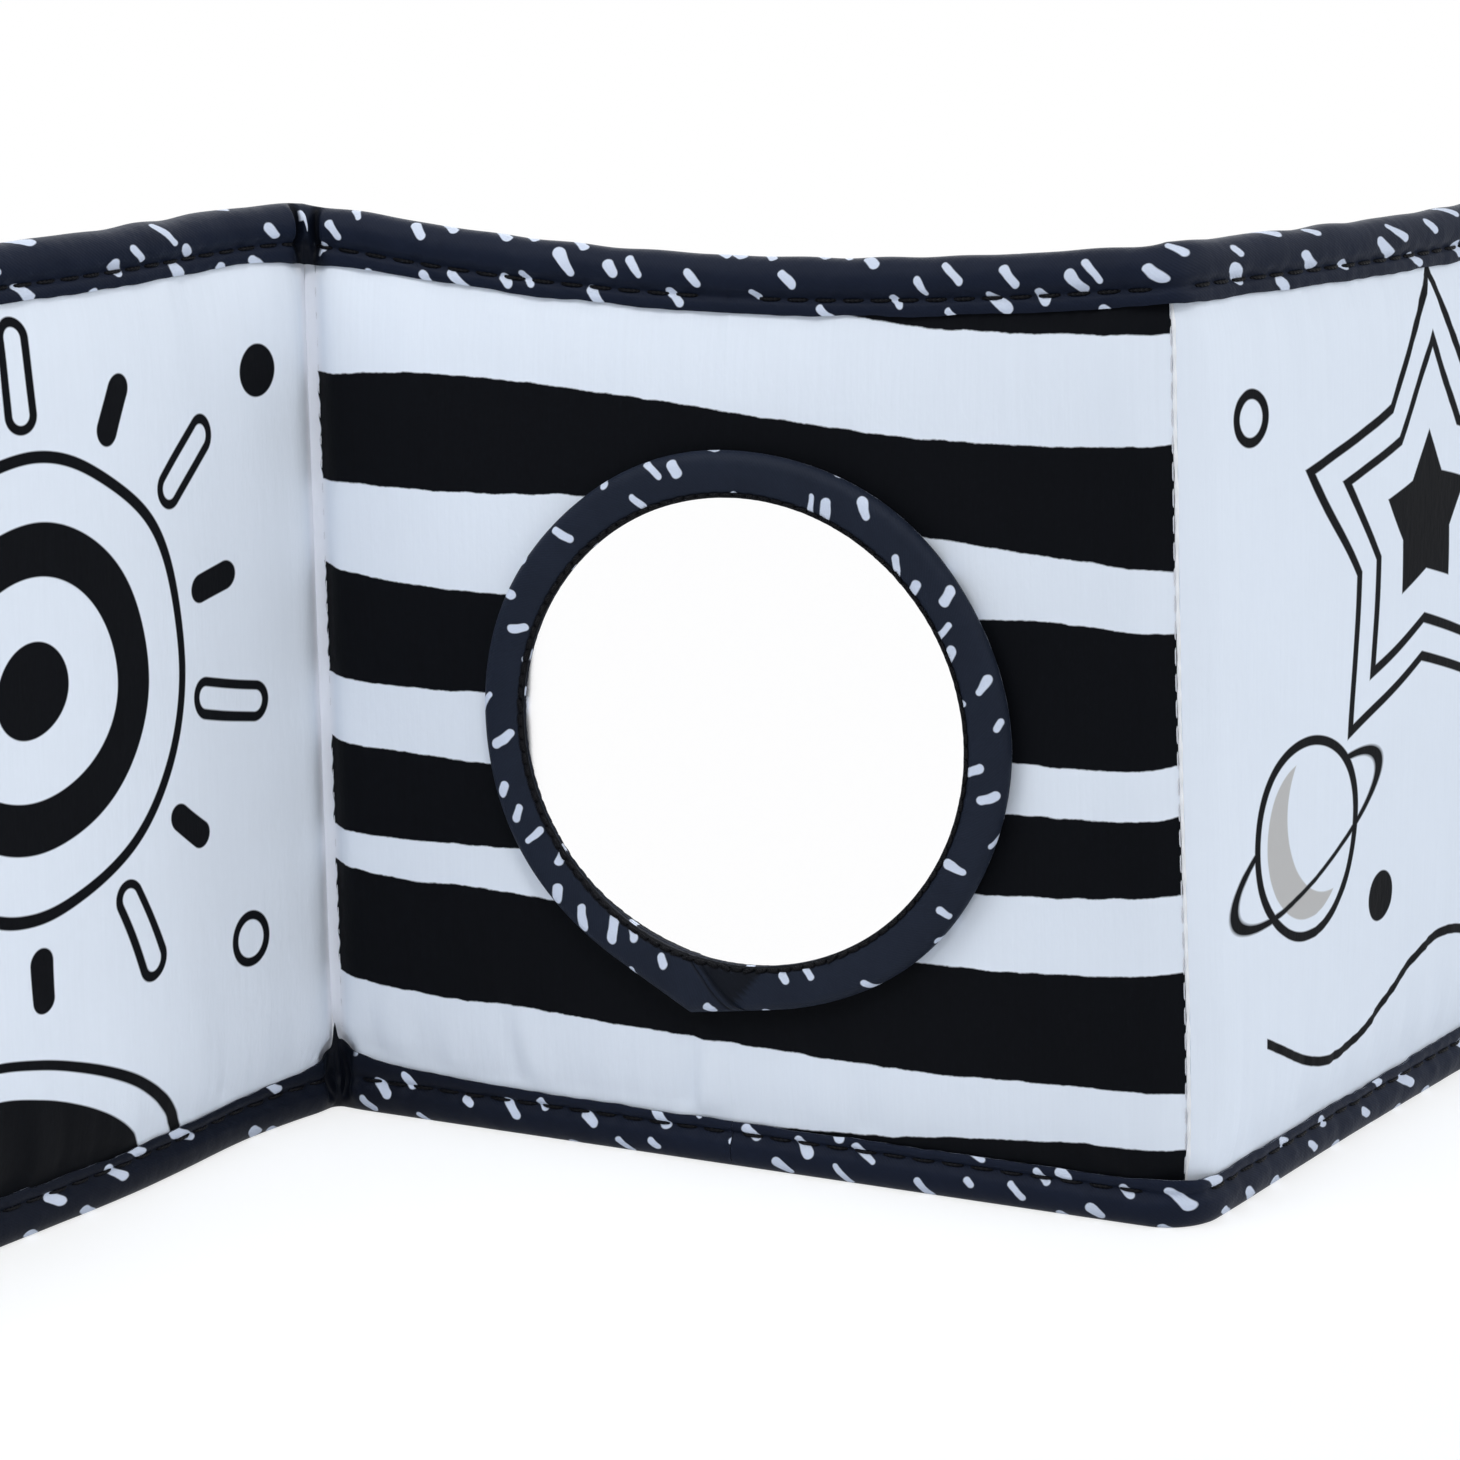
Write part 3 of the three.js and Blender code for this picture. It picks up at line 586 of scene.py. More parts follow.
def page_half(u, z, face):
    """How far a page's face stands out of its middle plane, with the cloth's puckers."""
    local, fold, outer = page_of(u)
    depth = outline_depth(u, z)
    valley = in_valley(u, face)
    inner = depth - TAPE_DEPTH - np.where(valley & (z < MID_HEIGHT), foot_rise(np.abs(u) - HALF_WIDTH), 0)
    under = tape_half(np.clip(depth, 0.6, TAPE_DEPTH)) - 0.7 * bell(depth - GROOVE_DEPTH, 1.7)
    pleated = np.where(valley, 0.26 + 0.74 * between(fold, 4.4, 6.6), 1)
    tucked = np.maximum(under * np.minimum(pinch(fold), pleated) - TAPE_CLOTH - 0.15, 0.12)
    crown = OUTER_CROWN * outer * (1 - (local / HALF_WIDTH) ** 2) * (1 - (z / MID_HEIGHT - 1) ** 2)
    rise = dome(inner, PILLOW_REACH) ** 2
    pillow = PILLOW_FOOT + (PAGE_SWELL + crown - PILLOW_FOOT) * rise
    full = fold_fullness(fold)
    gutter = fold_fullness(np.maximum(fold - VALLEY_STITCH + 0.6, 0)) * 1.02
    gutter = 0.75 + gutter * between(fold, 2.2, 3.6)
    full = np.where(valley & ~outer, np.minimum(gutter, full + 0.5 * (fold < 3)), full)
    near = np.clip(1.2 - np.abs(pillow - full), 0, None) / 1.2
    open_half = np.minimum(pillow, full) - near**2 * 0.3
    half = tucked + (np.maximum(open_half, tucked) - tucked) * between(inner, 0, 2.4)
    seed = 10 * face + 40
    lip = np.clip(inner, 0, None)
    fade = between(inner, 0.0, 2.0) * between(fold, 1.0, 8.0)
    puckers = 0
    for k, here in ((1, z > MID_HEIGHT), (2, z <= MID_HEIGHT)):
        ruffle = 0.3 * ripple(u, 6.2, seed + k) * np.exp(-lip / 7)
        ruffle = ruffle + 0.3 * k * ripple(u + 0.15 * z, 16, seed + 4 + k) * np.exp(-lip / 18)
        puckers = puckers + here * ruffle
    dense = np.where(u > HALF_WIDTH, 1.0, 0.2) * np.where(z < MID_HEIGHT, 1, 0.3)
    puckers = puckers + 0.42 * dense * ripple(u, 4.6, seed + 9) * np.exp(-lip / 20)
    gathers = np.where(u < 0, ripple(z, 5.2, seed + 11), ripple(z, 5.2, seed + 12))
    gathers = gathers * 0.22 * np.exp(-fold / 5) * between(fold, 0.4, 3)
    slack = 0.42 * ripple(u + 0.4 * z, 74, seed + 13) * ripple(z - 0.3 * u, 66, seed + 14)
    mirror, crease = 1, 0
    if face < 0:
        mirror = between(np.hypot(u - MIRROR_X, z - MIRROR_Z), RIM_RADIUS - 6, RIM_RADIUS + 10)
        line = u + 6.9 - 0.13 * (z - 16)
        crease = 1.3 * (bell(line - 2.2, 3.0) - bell(line + 1.6, 1.9)) * bell(z - 14, 15)
        line = u + 43 + 0.2 * (z - 20)
        crease = crease + 0.8 * (bell(line, 2.6) - bell(line + 3.6, 2.4)) * bell(z - 16, 12)
    return half + puckers * fade + gathers + (slack + crease) * fade * np.where(outer, 1, mirror)


def mesh_object(name, points, faces, materials, indices=None, sharp=50, **attributes):
    mesh = bpy.data.meshes.new(name)
    mesh.from_pydata(np.asarray(points).reshape(-1, 3).tolist(), [], [list(map(int, f)) for f in faces])
    for material in materials:
        mesh.materials.append(material)
    mesh.polygons.foreach_set("use_smooth", np.ones(len(mesh.polygons), bool))
    if indices is not None:
        mesh.polygons.foreach_set("material_index", np.asarray(indices, np.int32))
    for key, values in attributes.items():
        layer = mesh.attributes.new(key, "FLOAT_VECTOR", "POINT")
        layer.data.foreach_set("vector", np.asarray(values, np.float32).ravel())
    mesh.validate()
    mesh.update()
    mesh.set_sharp_from_angle(angle=math.radians(sharp))
    return link(name, mesh)


def fix_normals(piece):
    work = bmesh.new()
    work.from_mesh(piece.data)
    bmesh.ops.recalc_face_normals(work, faces=work.faces)
    work.to_mesh(piece.data)
    work.free()


def joined(*grids):
    return np.concatenate([grid.reshape(-1, 3) for grid in grids])


def grid_faces(rows, columns, offset=0, closed=False, tube=False, flip=False):
    """The faces of a grid of points. closed joins its last row to its first, and tube its columns."""
    i = np.arange(rows if closed else rows - 1)
    j = np.arange(columns if tube else columns - 1)
    i, j = (a.ravel() for a in np.meshgrid(i, j, indexing="ij"))
    after_i, after_j = (i + 1) % rows, (j + 1) % columns
    corners = [i * columns + j, after_i * columns + j, after_i * columns + after_j, i * columns + after_j]
    if flip:
        corners.reverse()
    return (np.stack(corners, -1) + offset).tolist()


def cap_faces(rows, columns, offset=0):
    """The two end faces of a tube of rings."""
    first = [offset + c for c in range(columns)]
    return [first, [(rows - 1) * columns + c for c in reversed(first)]]


# Where the right fold's blend ends, on the middle page and on the outer one. The left fold's is opposite.
FOLD_FAR = Vector((math.cos(PAGE_TURN), math.sin(PAGE_TURN), 0)) * BLEND_REACH * MM
FOLD_FAR.x += HALF_WIDTH * MM


def follow_fold(piece, side):
    """Bakes the piece's place into its mesh, on either side of the book."""
    if side < 0:
        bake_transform(piece)
    else:
        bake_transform(piece)


def place_page(u, n, z):
    """As place_flat, but with the pages' middle planes meeting in a sharp fold, except under the tapes."""
    u, n, z = np.broadcast_arrays(*(np.asarray(a, float) for a in (u, n, z)))
    side = np.where(u < 0, -1.0, 1.0)
    along = np.abs(u)
    turn = np.where(along > HALF_WIDTH, PAGE_TURN, 0.0)
    beyond = np.maximum(along - HALF_WIDTH, 0)
    out = n + bow(u)
    x = side * (np.minimum(along, HALF_WIDTH) + beyond * np.cos(turn)) + out * np.sin(turn) + lean(u, z)
    y = side * beyond * np.sin(turn) - out * np.cos(turn)
    sharp = np.stack([x, y, z], -1) * MM
    share = between(end_gap(z), TAPE_DEPTH + 6.5, TAPE_DEPTH - 1)
    return sharp + (place_flat(u, n, z) - sharp) * share[..., None]


# The cloth begins this far inside the tape's outline, and this far from a fold
EDGE_INSET, FOLD_START = 2.9, 0.3
CLOTH_STEP, CLOTH_ROWS = 1.5, 91


def page_cloth(name, start, stop, page, side):
    """The cloth of a page or of half a page, from one place of the unfolded book to another."""
    u = np.linspace(start, stop, round(abs(stop - start) / CLOTH_STEP) + 1)
    _, fold, outer = page_of(u)
    radius = CORNER_RADIUS - EDGE_INSET
    across = np.where(outer, np.clip(CORNER_RADIUS - PAGE_WIDTH + fold, 0, radius), 0)
    drop = radius - np.sqrt(radius**2 - across**2)
    rows = CLOTH_ROWS
    share = np.linspace(0, 1, rows)
    share = share - 0.018 * np.sin(share * math.tau)
    low, high = EDGE_INSET - BASE_CUT + drop, PAGE_HEIGHT - EDGE_INSET - drop
    grid_z = low[:, None] + (high - low)[:, None] * share
    grid_u = u[:, None] + 0 * grid_z
    flat_u, _, _ = page_of(grid_u)
    new_u, new_z = warp(grid_u, grid_z)
    skins = [place_page(new_u, -face * page_half(grid_u, grid_z, face), new_z) for face in (-1, 1)]
    half_count = len(u) * rows
    skin = grid_faces(len(u), rows)
    faces = skin + grid_faces(len(u), rows, half_count, flip=True)
    index = np.arange(half_count).reshape(len(u), rows)
    ring = [*index[:, 0], *index[-1, 1:], *index[-2::-1, -1], *index[0, -2:0:-1]]
    edge = [[b, a, a + half_count, b + half_count] for a, b in zip(ring, ring[1:] + ring[:1])]
    indices = [0] * len(skin) + [1] * len(skin) + [0] * len(edge)
    flat = np.stack([flat_u, grid_z, 0 * grid_z], -1)
    piece = mesh_object(name, joined(*skins), faces + edge, prints[page], indices, flat=joined(flat, flat))
    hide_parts(*(f"{page}_{part}" for part in ("front_cover", "back_cover", "foam_pad")))
    follow_fold(piece, side)


# The tape's run on one side of the book: along the top from the middle page's centre, round the free
# edge and back along the bottom.
EDGE_RUN = HALF_WIDTH + PAGE_WIDTH - CORNER_RADIUS
CORNER_RUN = CORNER_RADIUS * math.pi / 2
END_RUN = PAGE_HEIGHT + BASE_CUT - 2 * CORNER_RADIUS
WHOLE_RUN = 2 * EDGE_RUN + 2 * CORNER_RUN + END_RUN


def outline(run):
    """A place of the outline by its run along the tape: u, z and the two parts of the inward way."""
    run = np.asarray(run, float)
    first = np.clip((run - EDGE_RUN) / CORNER_RUN, 0, 1) * math.pi / 2
    second = np.clip((run - EDGE_RUN - CORNER_RUN - END_RUN) / CORNER_RUN, 0, 1) * math.pi / 2
    turn = first + second
    down = np.clip(run - EDGE_RUN - CORNER_RUN, 0, END_RUN)
    back = np.clip(run - EDGE_RUN - 2 * CORNER_RUN - END_RUN, 0, None)
    u = np.minimum(run, EDGE_RUN) + CORNER_RADIUS * (np.sin(first) - (1 - np.cos(second))) - back
    z = PAGE_HEIGHT - CORNER_RADIUS * (1 - np.cos(first)) - down - CORNER_RADIUS * np.sin(second)
    return u, z, -np.sin(turn), -np.cos(turn)


def tape_point(side, run, depth, n):
    u, z, in_u, in_z = outline(run)
    u, z = side * (u + in_u * depth), z + in_z * depth
    u, z = warp(u, z)
    return place_flat(u, n, np.maximum(z, 0.0))


def fold_squeeze(side, face, fold, depth, low):
    """How much of its thickness the tape keeps at a fold. It is stretched smooth round the outer side,
    and gathered into two pleats with a ridge between them on the inner side."""
    if not in_valley(side, face):
        return 1 - 0.12 * bell(fold, 5)
    open_share = between(fold, 4.0, 6.0)
    plateau = 1 - between(fold, 2.0, 3.4)
    pleated = 0.3 + 0.7 * open_share + 0.52 * plateau
    smooth = 0.72 + 0.28 * between(fold, 1, 8)
    calm = between(depth, GROOVE_DEPTH - 0.5, TAPE_DEPTH) * 0.75
    calm = np.maximum(calm, low * between(depth, 6, 2))
    return pleated + (smooth - pleated) * calm


def tape_swell(side, run, depth, face):
    """Half the tape's thickness with its gathers, needle holes and the pleats at a fold."""
    u, z = outline(run)[:2]
    u = side * u
    fold = np.abs(np.abs(u) - HALF_WIDTH)
    half = tape_half(depth) * fold_squeeze(side, face, fold, depth, z < MID_HEIGHT)
    calm = between(np.abs(u), 0, 8) * between(depth, 0, 3)
    holes = 0.5 + 0.5 * np.cos(math.tau * run / STITCH_PITCH)
    half = half - 0.3 * holes**3 * bell(depth - GROOVE_DEPTH, 1.0)
    half = half - 0.16 * holes * between(depth, 3, 6.2) * (1 - between(depth, 6.7, 7.7)) * calm
    half = half + 0.12 * ripple(run + 0.8 * depth, 13, 61 + face) * calm
    half = half + 0.07 * ripple(run - 0.3 * depth, 5, 63 + face) * calm * between(depth, 4, 7)
    return np.maximum(half, 0.3 * between(depth, 0, 0.6))


def fold_shade(side, run, depth, n):
    """The painted shade on the tape's valley face, from 0 to 1: deep in the pleats at a fold's foot, two
    dark bands at its top, and a fainter one far along the left page's bottom.
    """
    u, z = outline(run)[:2]
    fold = np.abs(np.abs(u) - HALF_WIDTH)
    top = 0.9 * bell(fold - 3.7, 1.1) + 0.25 * between(fold, 4, 3)
    top = np.maximum(top, 0.75 * between(depth, 4.5, 8) * between(fold, 8, 3.6))
    # the painted shade at the foot reaches far along the left page's bottom tape, and stays near the fold
    # elsewhere
    reach = np.where((side < 0) & (np.abs(u) > HALF_WIDTH), 400, 50)
    foot = np.maximum(0.85 * between(fold, 10, 5), 0.55 * bell(fold, reach) * between(z, 60, 5))
    return np.where(z < MID_HEIGHT, foot, top) * between(-side * n, -1.5, 1.0)


def lip_depth(side, run, face):
    """Where the lip ends: nearly straight, with a drawn-up spike at the bottom of a fold's valley."""
    u, z = outline(run)[:2]
    gap = np.abs(u) - HALF_WIDTH
    low = (z < MID_HEIGHT) & (np.abs(u) < 2 * HALF_WIDTH)
    drawn = -0.6 * low * between(np.abs(gap), 0, 12)
    if in_valley(side, face):
        drawn = drawn + np.where(low, foot_rise(gap), 1.1 * bell(gap, 9))
    calm = between(np.abs(u), 0, 8)
    wavy = 0.16 * ripple(run, 26, 71 + face) + 0.07 * ripple(run, 7, 73 + face)
    return TAPE_DEPTH + wavy * calm + drawn


# The depths of the tape's rows of points, from the lip's edge to the nose, outside and inside
TAPE_ROWS = [10.2, 9.98, 9.6, 9.1, 8.5, 8.1, 7.8, 7.54, 7.4, 7.26, 6.98, 6.55, 6.0, 5.4, 4.75, 4.1]
TAPE_ROWS = np.array(TAPE_ROWS + [3.4, 2.6, 1.9, 1.3, 0.8, 0.4, 0.12])
TAPE_INNER_ROWS = np.array([10.1, 8.5, 7.4, 6.0, 4.3, 2.8, 1.7])


def tape(side, material):
    """The folded tape of one half of the book, as a closed channel that holds the covers."""
    runs = []
    fold_top, fold_bottom = HALF_WIDTH, WHOLE_RUN - HALF_WIDTH
    run = 0.0
    while run < WHOLE_RUN - 0.4:
        runs.append(run)
        close = min(abs(run - fold_top), abs(run - fold_bottom))
        run += 0.5 if close < 7 else 0.95
    run = np.array(runs + [WHOLE_RUN])[:, None]
    outer, inner = TAPE_ROWS, TAPE_INNER_ROWS
    sides = []
    for face in (-1, 1):
        stretch = lip_depth(side, run, face) / TAPE_DEPTH - 1
        depths = [rows * (1 + stretch * between(rows, 7, TAPE_DEPTH)) for rows in (outer, inner)]
        half = tape_swell(side, run, outer, face)
        inside = np.maximum(tape_swell(side, run, np.maximum(inner, 2.6), face) - TAPE_CLOTH, 0.08)
        sides += [np.stack([depth, -face * out]) for depth, out in zip(depths, (half, inside))]
    front, front_lining, back, back_lining = sides
    nose = np.zeros((2, len(run), 1))
    section = [front, nose, back[..., ::-1], back_lining, front_lining[..., ::-1]]
    depth, n = np.concatenate(section, -1)
    u, z = outline(run)[:2]
    nose_shift = 0.22 * ripple(run, 21, 81) * between(np.abs(u), 0, 8) * (z > 20)
    depth = depth + nose_shift * (1 - between(depth, 0, 6))
    points = tape_point(side, run, depth, n)
    stations, count = points.shape[:2]
    step = np.hypot(np.diff(depth, axis=1), np.diff(n, axis=1))
    t = np.concatenate([0 * run, np.cumsum(step, 1)], 1)
    t = t - t[:, len(outer)][:, None] + 13
    outer_run = np.clip(run - fold_top, 0, fold_bottom - fold_top)
    place = side * (run - 0.3 * outer_run) + (3.1 if side < 0 else 0)
    # the third channel is the tape's painted shade
    coords = np.stack([place + 0 * depth, t, fold_shade(side, run, depth, n)], -1)
    faces = grid_faces(stations, count, tube=True, flip=side < 0)
    faces += [cap[::side] for cap in cap_faces(stations, count)]
    key = SIDE_NAME[side]
    piece = mesh_object(f"{key}_binding", points, faces, [material], tape=coords)
    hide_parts(*(f"{key}_{part}_binding" for part in ("top", "bottom", "end")))
    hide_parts("middle_top_binding", "middle_bottom_binding")
    follow_fold(piece, side)


def stitch_rings(at, start, length, radius, dive=0.34):
    """The rings of one stitch, placed by at(along, up, across). Its ends dive into the cloth."""
    q = np.array([-1.0, -0.86, -0.5, 0.0, 0.5, 0.86, 1.0])[:, None]
    size = radius * np.array([0.35, 0.85, 1.0, 1.0, 1.0, 0.85, 0.35])[:, None]
    angle = circle(7)
    up = radius * 0.55 - dive * np.abs(q) ** 3
    return at(start + q * length / 2 + 0 * angle, up + size * np.sin(angle), size * np.cos(angle))


def stitches(name, rings_list, material):
    """One mesh of many short stitches."""
    rows, columns = rings_list[0].shape[:2]
    faces, coords = [], []
    for k in range(len(rings_list)):
        offset = k * rows * columns
        faces += grid_faces(rows, columns, offset, tube=True) + cap_faces(rows, columns, offset)
        s, t = np.meshgrid(np.linspace(0, 4, rows), np.arange(columns) * 0.9, indexing="ij")
        coords.append(np.stack([s + k, t, 0 * s], -1))
    piece = mesh_object(name, joined(*rings_list), faces, [material], sharp=80, tape=joined(*coords))
    fix_normals(piece)
    return piece


def tape_threads(side, material):
    """The stitches in the tape's groove, on both faces."""
    made = []
    for face in (-1, 1):

        def at(along, up, across):
            half = tape_swell(side, along, GROOVE_DEPTH + 0 * across, face)
            return tape_point(side, along, GROOVE_DEPTH + across, -face * (half + up))

        for k in range(1, int(WHOLE_RUN / STITCH_PITCH)):
            centre = (k + 0.5) * STITCH_PITCH
            u, _, _, _ = outline(centre)
            if abs(abs(u) - HALF_WIDTH) >= 4.5 and centre <= WHOLE_RUN - 3:
                made.append(stitch_rings(at, centre, STITCH_PITCH * 0.8, 0.36))
    piece = stitches(f"{SIDE_NAME[side]}_binding_thread", made, material)
    follow_fold(piece, side)


def seam_ridge(side, material):
    """The gathered cloth on the fold line."""
    rows, columns = 181, 12
    z = np.linspace(*SEAM_ENDS, rows)[:, None]
    angle = circle(columns)
    swell = 0.36 + 0.05 * np.cos(math.tau * z / STITCH_GAP) + 0.04 * ripple(z, 7, 91 + side)
    x = 0.06 * ripple(z, 31, 95 + side) + swell * np.cos(angle)
    y = swell * np.sin(angle) + 0 * z
    centre = place_page(side * HALF_WIDTH, 0.0, z + 0 * angle)
    points = centre + np.stack([x, y, 0 * x], -1) * MM
    faces = grid_faces(rows, columns, tube=True)
    faces += cap_faces(rows, columns)
    coords = np.stack([z + 0 * angle, angle + 0 * z, 0 * x], -1)
    key = SIDE_NAME[side]
    piece = mesh_object(f"{key}_fold_ridge", points, faces, [material], tape=coords)
    fix_normals(piece)
    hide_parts(f"{key}_fold_seam")
    follow_fold(piece, side)


def seam_threads(side, material):
    """The stitches that join both covers along the fold, on both faces."""
    made = []
    for face in (-1, 1):
        valley = in_valley(side, face)
        u = side * (HALF_WIDTH - (VALLEY_STITCH if valley else RIDGE_STITCH))

        def at(along, up, across):
            half = page_half(u + across, along, face)
            return place_page(u + across, -face * (half + up), along)

        length, radius = (STITCH_GAP * 0.6, 0.2) if valley else (STITCH_GAP * 0.9, 0.12)
        made += [stitch_rings(at, centre, length, radius, 0.2) for centre in SEAM_STITCHES]
    piece = stitches(f"{SIDE_NAME[side]}_seam_thread", made, material)
    follow_fold(piece, side)


def mirror_point(angle, radius, height):
    x = MIRROR_X + radius * np.cos(angle)
    z = MIRROR_Z + radius * np.sin(angle)
    return np.stack(np.broadcast_arrays(x, -(MIRROR_PLANE + height), z), -1) * MM


# The lap of the rim's tape, at the bottom left: angles round the mirror
LAP_INNER, LAP_OUTER, LAP_CORNER, LAP_REACH = np.radians([-101.0, -87.5, -100.3, 18.3])
FLAP_TIP, FLAP_END = np.radians([-91.66, -82.8])


def lap_side(angle, depth):
    """How far, as an angle, a place of the rim lies on the lapping side of the tape's folded end."""
    return LAP_OUTER + (LAP_INNER - LAP_OUTER) * depth / RIM_WIDTH - angle


def unrolled(angle, depth):
    """The angle along the rim's tape, which begins and ends at the lap."""
    return angle + math.tau * (lap_side(angle, depth) > -0.0001)


def rim_front(angle, depth):
    """How far the rim's front stands out of the mirror's middle plane."""
    nose = 2.2 * dome(depth, 2.2)
    groove = 0.45 * bell(depth - RIM_GROOVE, 0.4)
    edge = 0.6 * between(depth, 8.2, RIM_WIDTH)
    fall = 0.45 * between(depth, 4.0, 7.6)
    arc = unrolled(angle, depth) * RIM_RADIUS
    gathers = 0.07 * ripple(arc, 8, 31) + 0.08 * ripple(arc, 3, 32) * between(depth, 5, 7.5)
    lap = lap_side(angle, depth)
    over = between(lap, 0, 0.0004) * between(angle, math.radians(-138), math.radians(-112))
    crease = 0.3 * bell(lap - 0.045, 0.008)
    flap = (0.65 * over - crease + 0.2 * under_flap(angle, depth)) * between(depth, 0, 1.4)
    return nose - groove - edge - fall + gathers * between(depth, 0, 2) + flap


def under_flap(angle, depth):
    """1 on the small folded triangle that shows beside the lap, 0 off it."""
    edge = FLAP_TIP + (FLAP_END - FLAP_TIP) * (depth - 0.8) / (RIM_WIDTH - 0.8)
    return between(edge - angle, -0.004, 0.004) * (lap_side(angle, depth) < 0.0002)


def rim_radius(angle):
    """The rim's outline, whose folded end stands out in a corner between two straight edges."""
    off = np.clip(LAP_REACH - np.abs(angle - LAP_CORNER), 0, None)
    return RIM_RADIUS / np.cos(off) + 0.14 * np.sin(angle * 7 + 1.0)


def mirror_rim(material):
    """The tape round the mirror, as a closed channel. Its ring of points begins and ends at the lap."""
    middle = (LAP_OUTER + LAP_INNER) / 2
    turned = [0.02]
    while turned[-1] < 360:
        off = min(turned[-1], 360 - turned[-1])
        turned.append(min(turned[-1] + (0.25 if off < 12 else 0.5 if off < 30 else 1.0), 360))
    line = np.mod(middle + np.radians(turned) + math.pi, math.tau)[:, None] - math.pi
    depth = [0, 0.1, 0.3, 0.65, 1.1, 1.7, 2.3, 3.1, 4, 4.8, 5.5, 6.2, 6.8, 7.3, 7.65]
    depth = np.array(depth + [RIM_GROOVE, 8.25, 8.45, RIM_WIDTH])
    inner_depth, inner_up = np.array([8.5, 6.0, 3.0, 1.2]), np.array([0.75, 0.75, 0.75, 0.5])
    back_depth = np.array([RIM_WIDTH, 5.0, 2.6, 1.3, 0.5, 0.1])
    back = -1.95 * dome(back_depth, 2.6)
    depths = np.concatenate([depth, inner_depth, inner_depth[::-1], back_depth])
    slant = (LAP_INNER - LAP_OUTER) * (depths / RIM_WIDTH - 0.5)
    angle = line + slant * (1 - between(np.abs(line - middle), 0, math.radians(28)))
    front = rim_front(angle[:, : len(depth)], depth)
    rest = np.concatenate([inner_up, -inner_up[::-1], back])
    heights = np.concatenate([front, np.broadcast_to(rest, (len(angle), len(rest)))], 1)
    out = rim_radius(angle) - RIM_RADIUS
    radius = RIM_RADIUS + out * (1 - between(depths, 0, 6)) - depths
    points = mirror_point(angle, radius, heights)
    stations, count = points.shape[:2]
    t = np.concatenate([[0], np.cumsum(np.hypot(np.diff(depths), np.diff(heights.mean(0))))])
    lap = lap_side(angle, depths)
    # Painted shade on the rim's tape: two dark strokes along the lap's crease, the small folded triangle
    # beside the lap, and the lip inside the stitch groove
    crease_shade = bell(lap - 0.008, 0.008) + bell(lap - 0.045, 0.007)
    crease_shade = crease_shade * (np.abs(line - middle) < 0.3)
    lip_shade = between(depths, RIM_GROOVE - 0.6, RIM_GROOVE - 0.2)
    under = np.maximum(np.maximum(under_flap(angle, depths), crease_shade) * 0.8, lip_shade)
    under = under * (np.arange(count) < len(depth))
    coords = np.stack([unrolled(angle, depths) * 50, t + 0 * radius, under], -1)
    faces = grid_faces(stations, count, closed=True, tube=True)
    piece = mesh_object("mirror_rim", points, faces, [material], tape=coords)
    fix_normals(piece)
    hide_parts("mirror_rim_binding")
    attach(piece, "middle_page")


def mirror_threads(material):
    """Close black stitches along the rim's inner edge."""
    made = []
    pitch = RIM_PITCH / RIM_RADIUS
    for k in range(int(math.tau / pitch)):
        centre = -math.pi + (k + 0.5) * pitch
        slant = 0.5 * ripple(k, 5, 37)

        def at(along, up, across):
            radius = RIM_RADIUS - RIM_GROOVE + across + slant * (along - centre) / pitch
            height = rim_front(along, RIM_RADIUS - radius)
            return mirror_point(along, radius, height + up)

        made.append(stitch_rings(at, centre, pitch * 0.98, 0.4, 0.16))
    piece = stitches("mirror_thread", made, material)
    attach(piece, "middle_page")


def mirror_disc(material):
    """A thin sheet, dished a little towards its middle."""
    rows, columns = 14, 72
    radius = np.linspace(0.02, 1, rows)[:, None] * SHEET_RADIUS
    angle = circle(columns)
    dish = 0.34 * np.clip(radius / (RIM_RADIUS - RIM_WIDTH), 0, 1) ** 2
    points = joined(mirror_point(angle, radius, 0.3 + dish), mirror_point(angle, radius, 0.1 + dish))
    total = rows * columns
    faces = grid_faces(rows, columns, tube=True)
    faces += grid_faces(rows, columns, total, tube=True, flip=True)
    edge = [(total - columns + c, total - columns + (c + 1) % columns) for c in range(columns)]
    faces += [[a, b, total + b, total + a] for a, b in edge]
    faces += [list(range(columns)), [total + c for c in range(columns)]]
    flat = np.stack([radius * np.cos(angle), radius * np.sin(angle), 0 * radius * angle], -1)
    piece = mesh_object("mirror_film_disc", points, faces, [material], flat=joined(flat, flat))
    fix_normals(piece)
    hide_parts("mirror_sheet")
    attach(piece, "middle_page")


# Each page's front and back
prints = {
    "left": (printed_cloth(sun, 1), printed_cloth(dots)),
    "middle": (printed_cloth(stripes, -1), printed_cloth(chevrons)),
    "right": (printed_cloth(star), printed_cloth(rings)),
}
far_edge = HALF_WIDTH + PAGE_WIDTH - EDGE_INSET
for key, start, stop, side, page in (
    ("left_page_cloth", -far_edge, -HALF_WIDTH - FOLD_START, -1, "left"),
    ("middle_page_cloth_left", -HALF_WIDTH + FOLD_START, 0.0, -1, "middle"),
    ("middle_page_cloth_right", 0.0, HALF_WIDTH - FOLD_START, 1, "middle"),
    ("right_page_cloth", HALF_WIDTH + FOLD_START, far_edge, 1, "right"),
):
    page_cloth(key, start, stop, page, side)

tape_material = binding_cloth("binding_twill", NAVY, math.radians(-46), 0.4)
rim_material = binding_cloth("rim_twill", SLATE, math.radians(-60), 1.0)
dark_thread = thread("dark_thread", srgb(5, 6, 11), 0.5)
pale_thread = thread("pale_thread", srgb(229, 230, 236), 0.6)
ridge = seam_cloth()
for side in (-1, 1):
    tape(side, tape_material)
    tape_threads(side, dark_thread)
    seam_ridge(side, ridge)
    seam_threads(side, pale_thread)
mirror_rim(rim_material)
mirror_threads(dark_thread)
mirror_disc(mirror_film())
backing = frame["nodes"]["mirror_backing"]
backing.data.materials.clear()
backing.data.materials.append(foam())


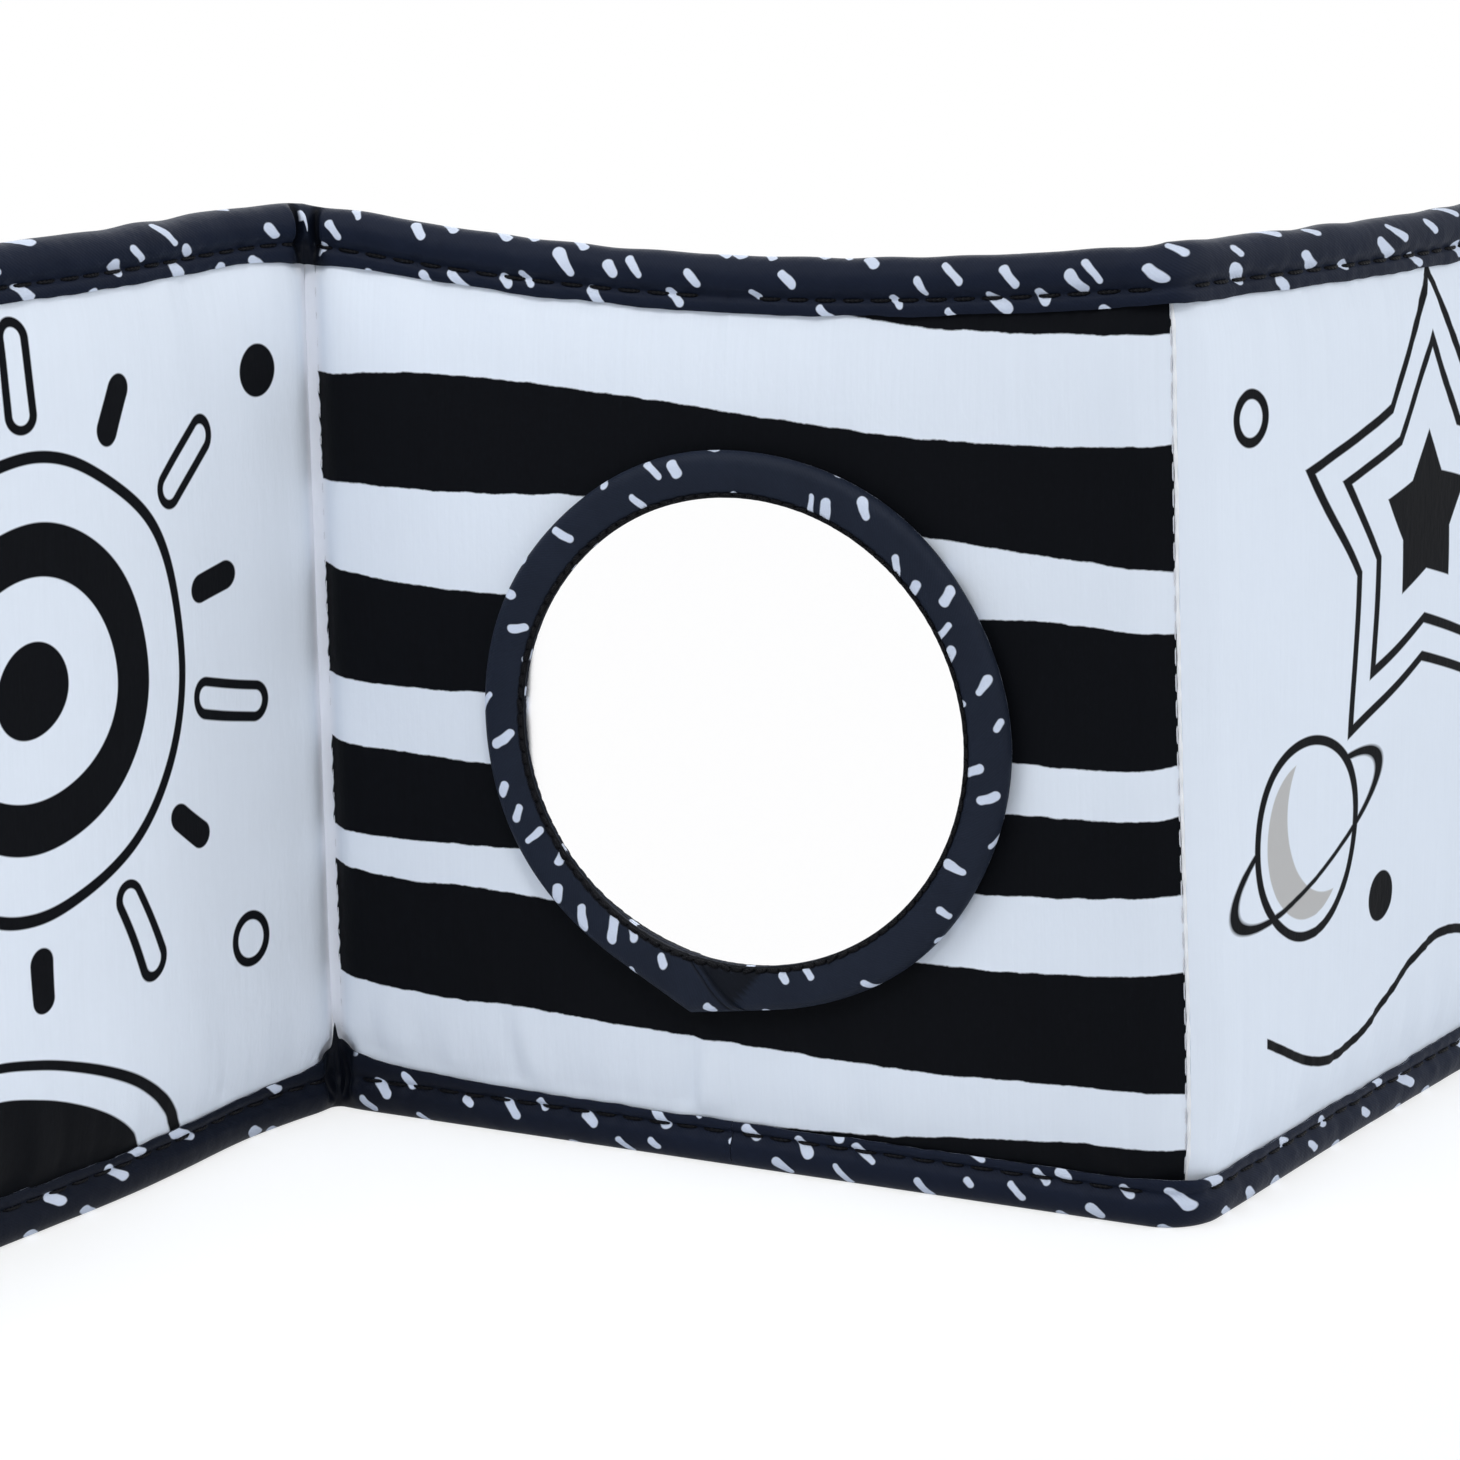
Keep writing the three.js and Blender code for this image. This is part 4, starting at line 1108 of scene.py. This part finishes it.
# The stage: colours, levels and places, in metres
WHITE, PAPER = (1, 1, 1, 1), (0.885, 0.9, 0.925, 1.0)
WORLD_COLOR, WORLD_LEVEL = (0.94, 0.985, 1.045, 1), 0.46
LAMP_COLOR, SPOT_COLOR = (0.96, 0.985, 1.0), (0.985, 0.99, 0.99)
BOOK_MIDDLE = (0, 0, 0.08)
CAMERA_PLACE, CAMERA_LENS = (0.27578, -0.63089, 0.24698), 93.70
# Degrees about z, x and z: to the left, up from straight down, and round the line of sight
CAMERA_TURNS = (23.73, 76.76, -0.07)


def floor():
    """A white paper ground. It takes the book's soft shadow, and away from the book it is seen as white."""
    size = 6.0
    mesh = bpy.data.meshes.new("floor")
    corners = [(-size, -size, 0), (size, -size, 0), (size, size, 0), (-size, size, 0)]
    mesh.from_pydata(corners, [], [(0, 1, 2, 3)])
    g = Graph("floor_paper")
    place = g.node("ShaderNodeTexCoord").outputs["Object"]
    seen = g.rays("Camera", "Glossy", "Transmission")
    x, y, _ = g.parts(place)
    near = g.math("SUBTRACT", 1.45, g.length(x, y) * 2.3, clamp=True) * (1.0 - g.rays("Glossy"))
    grain = g.noise_at(Value(g, place), 60.0, 2.0)
    shade = seen * near * 0.42 + (1.0 - seen)
    diffuse = g.new("ShaderNodeBsdfDiffuse", Color=g.tint(PAPER, (1.0 + grain * 0.01) * shade))
    glow = g.new("ShaderNodeEmission", Color=WHITE, Strength=seen * (1.0 - near * 0.3))
    g.fill(g.out, Surface=g.new("ShaderNodeAddShader", diffuse, glow))
    mesh.materials.append(g.owner)
    link("floor", mesh)


def world():
    """Soft pale light all round. Seen directly or in gloss it is white, and brighter near the ceiling."""
    g = Graph("studio", bpy.data.worlds, "ShaderNodeOutputWorld")
    bpy.context.scene.world = g.owner
    _, _, up = g.parts(g.node("ShaderNodeTexCoord").outputs["Generated"])
    ceiling = g.node("ShaderNodeMapRange", interpolation_type="SMOOTHSTEP")
    level = g.fill(ceiling, Value=up, From_Min=0.3, From_Max=0.95, To_Min=1.0, To_Max=2.0)
    soft = g.new("ShaderNodeBackground", Color=WORLD_COLOR, Strength=WORLD_LEVEL)
    white = g.new("ShaderNodeBackground", Color=WHITE, Strength=level)
    g.fill(g.out, Surface=g.new("ShaderNodeMixShader", g.rays("Camera", "Glossy"), soft, white))


def lamp(name, kind, place, aim, power, color, **settings):
    data = bpy.data.lights.new(name, kind)
    for key, value in dict(settings, energy=power, color=color).items():
        setattr(data, key, value)
    made = link(name, data)
    made.location = place
    made.rotation_euler = (Vector(aim) - Vector(place)).to_track_quat("-Z", "Y").to_euler()


def camera():
    data = bpy.data.cameras.new("camera")
    data.sensor_width, data.lens = 36, CAMERA_LENS
    data.clip_start, data.clip_end = 0.01, 50
    made = link("camera", data)
    made.matrix_world = Matrix.Translation(CAMERA_PLACE)
    for angle, axis in zip(CAMERA_TURNS, "ZXZ"):
        made.matrix_world @= Matrix.Rotation(math.radians(angle), 4, axis)
    bpy.context.scene.camera = made


floor()
world()
for name, place, power in (
    ("key", (-0.75, -1.2, 1.5), 12.3),
    ("fill", (1.7, 0.35, 0.9), 11.0),
    ("back", (-0.6, 1.6, 0.9), 7.0),
):
    lamp(name, "AREA", place, BOOK_MIDDLE, power, LAMP_COLOR, shape="DISK", size=1.2)
# a soft-edged light into the corner between the left page and the middle one
cone = dict(spot_size=math.radians(18), spot_blend=1.0, shadow_soft_size=0.25)
lamp("spot", "SPOT", (0.35, -0.8, 1.2), (-0.12, -0.06, 0.19), 63.0, SPOT_COLOR, **cone)
camera()
bpy.context.scene.view_settings.view_transform = "Standard"
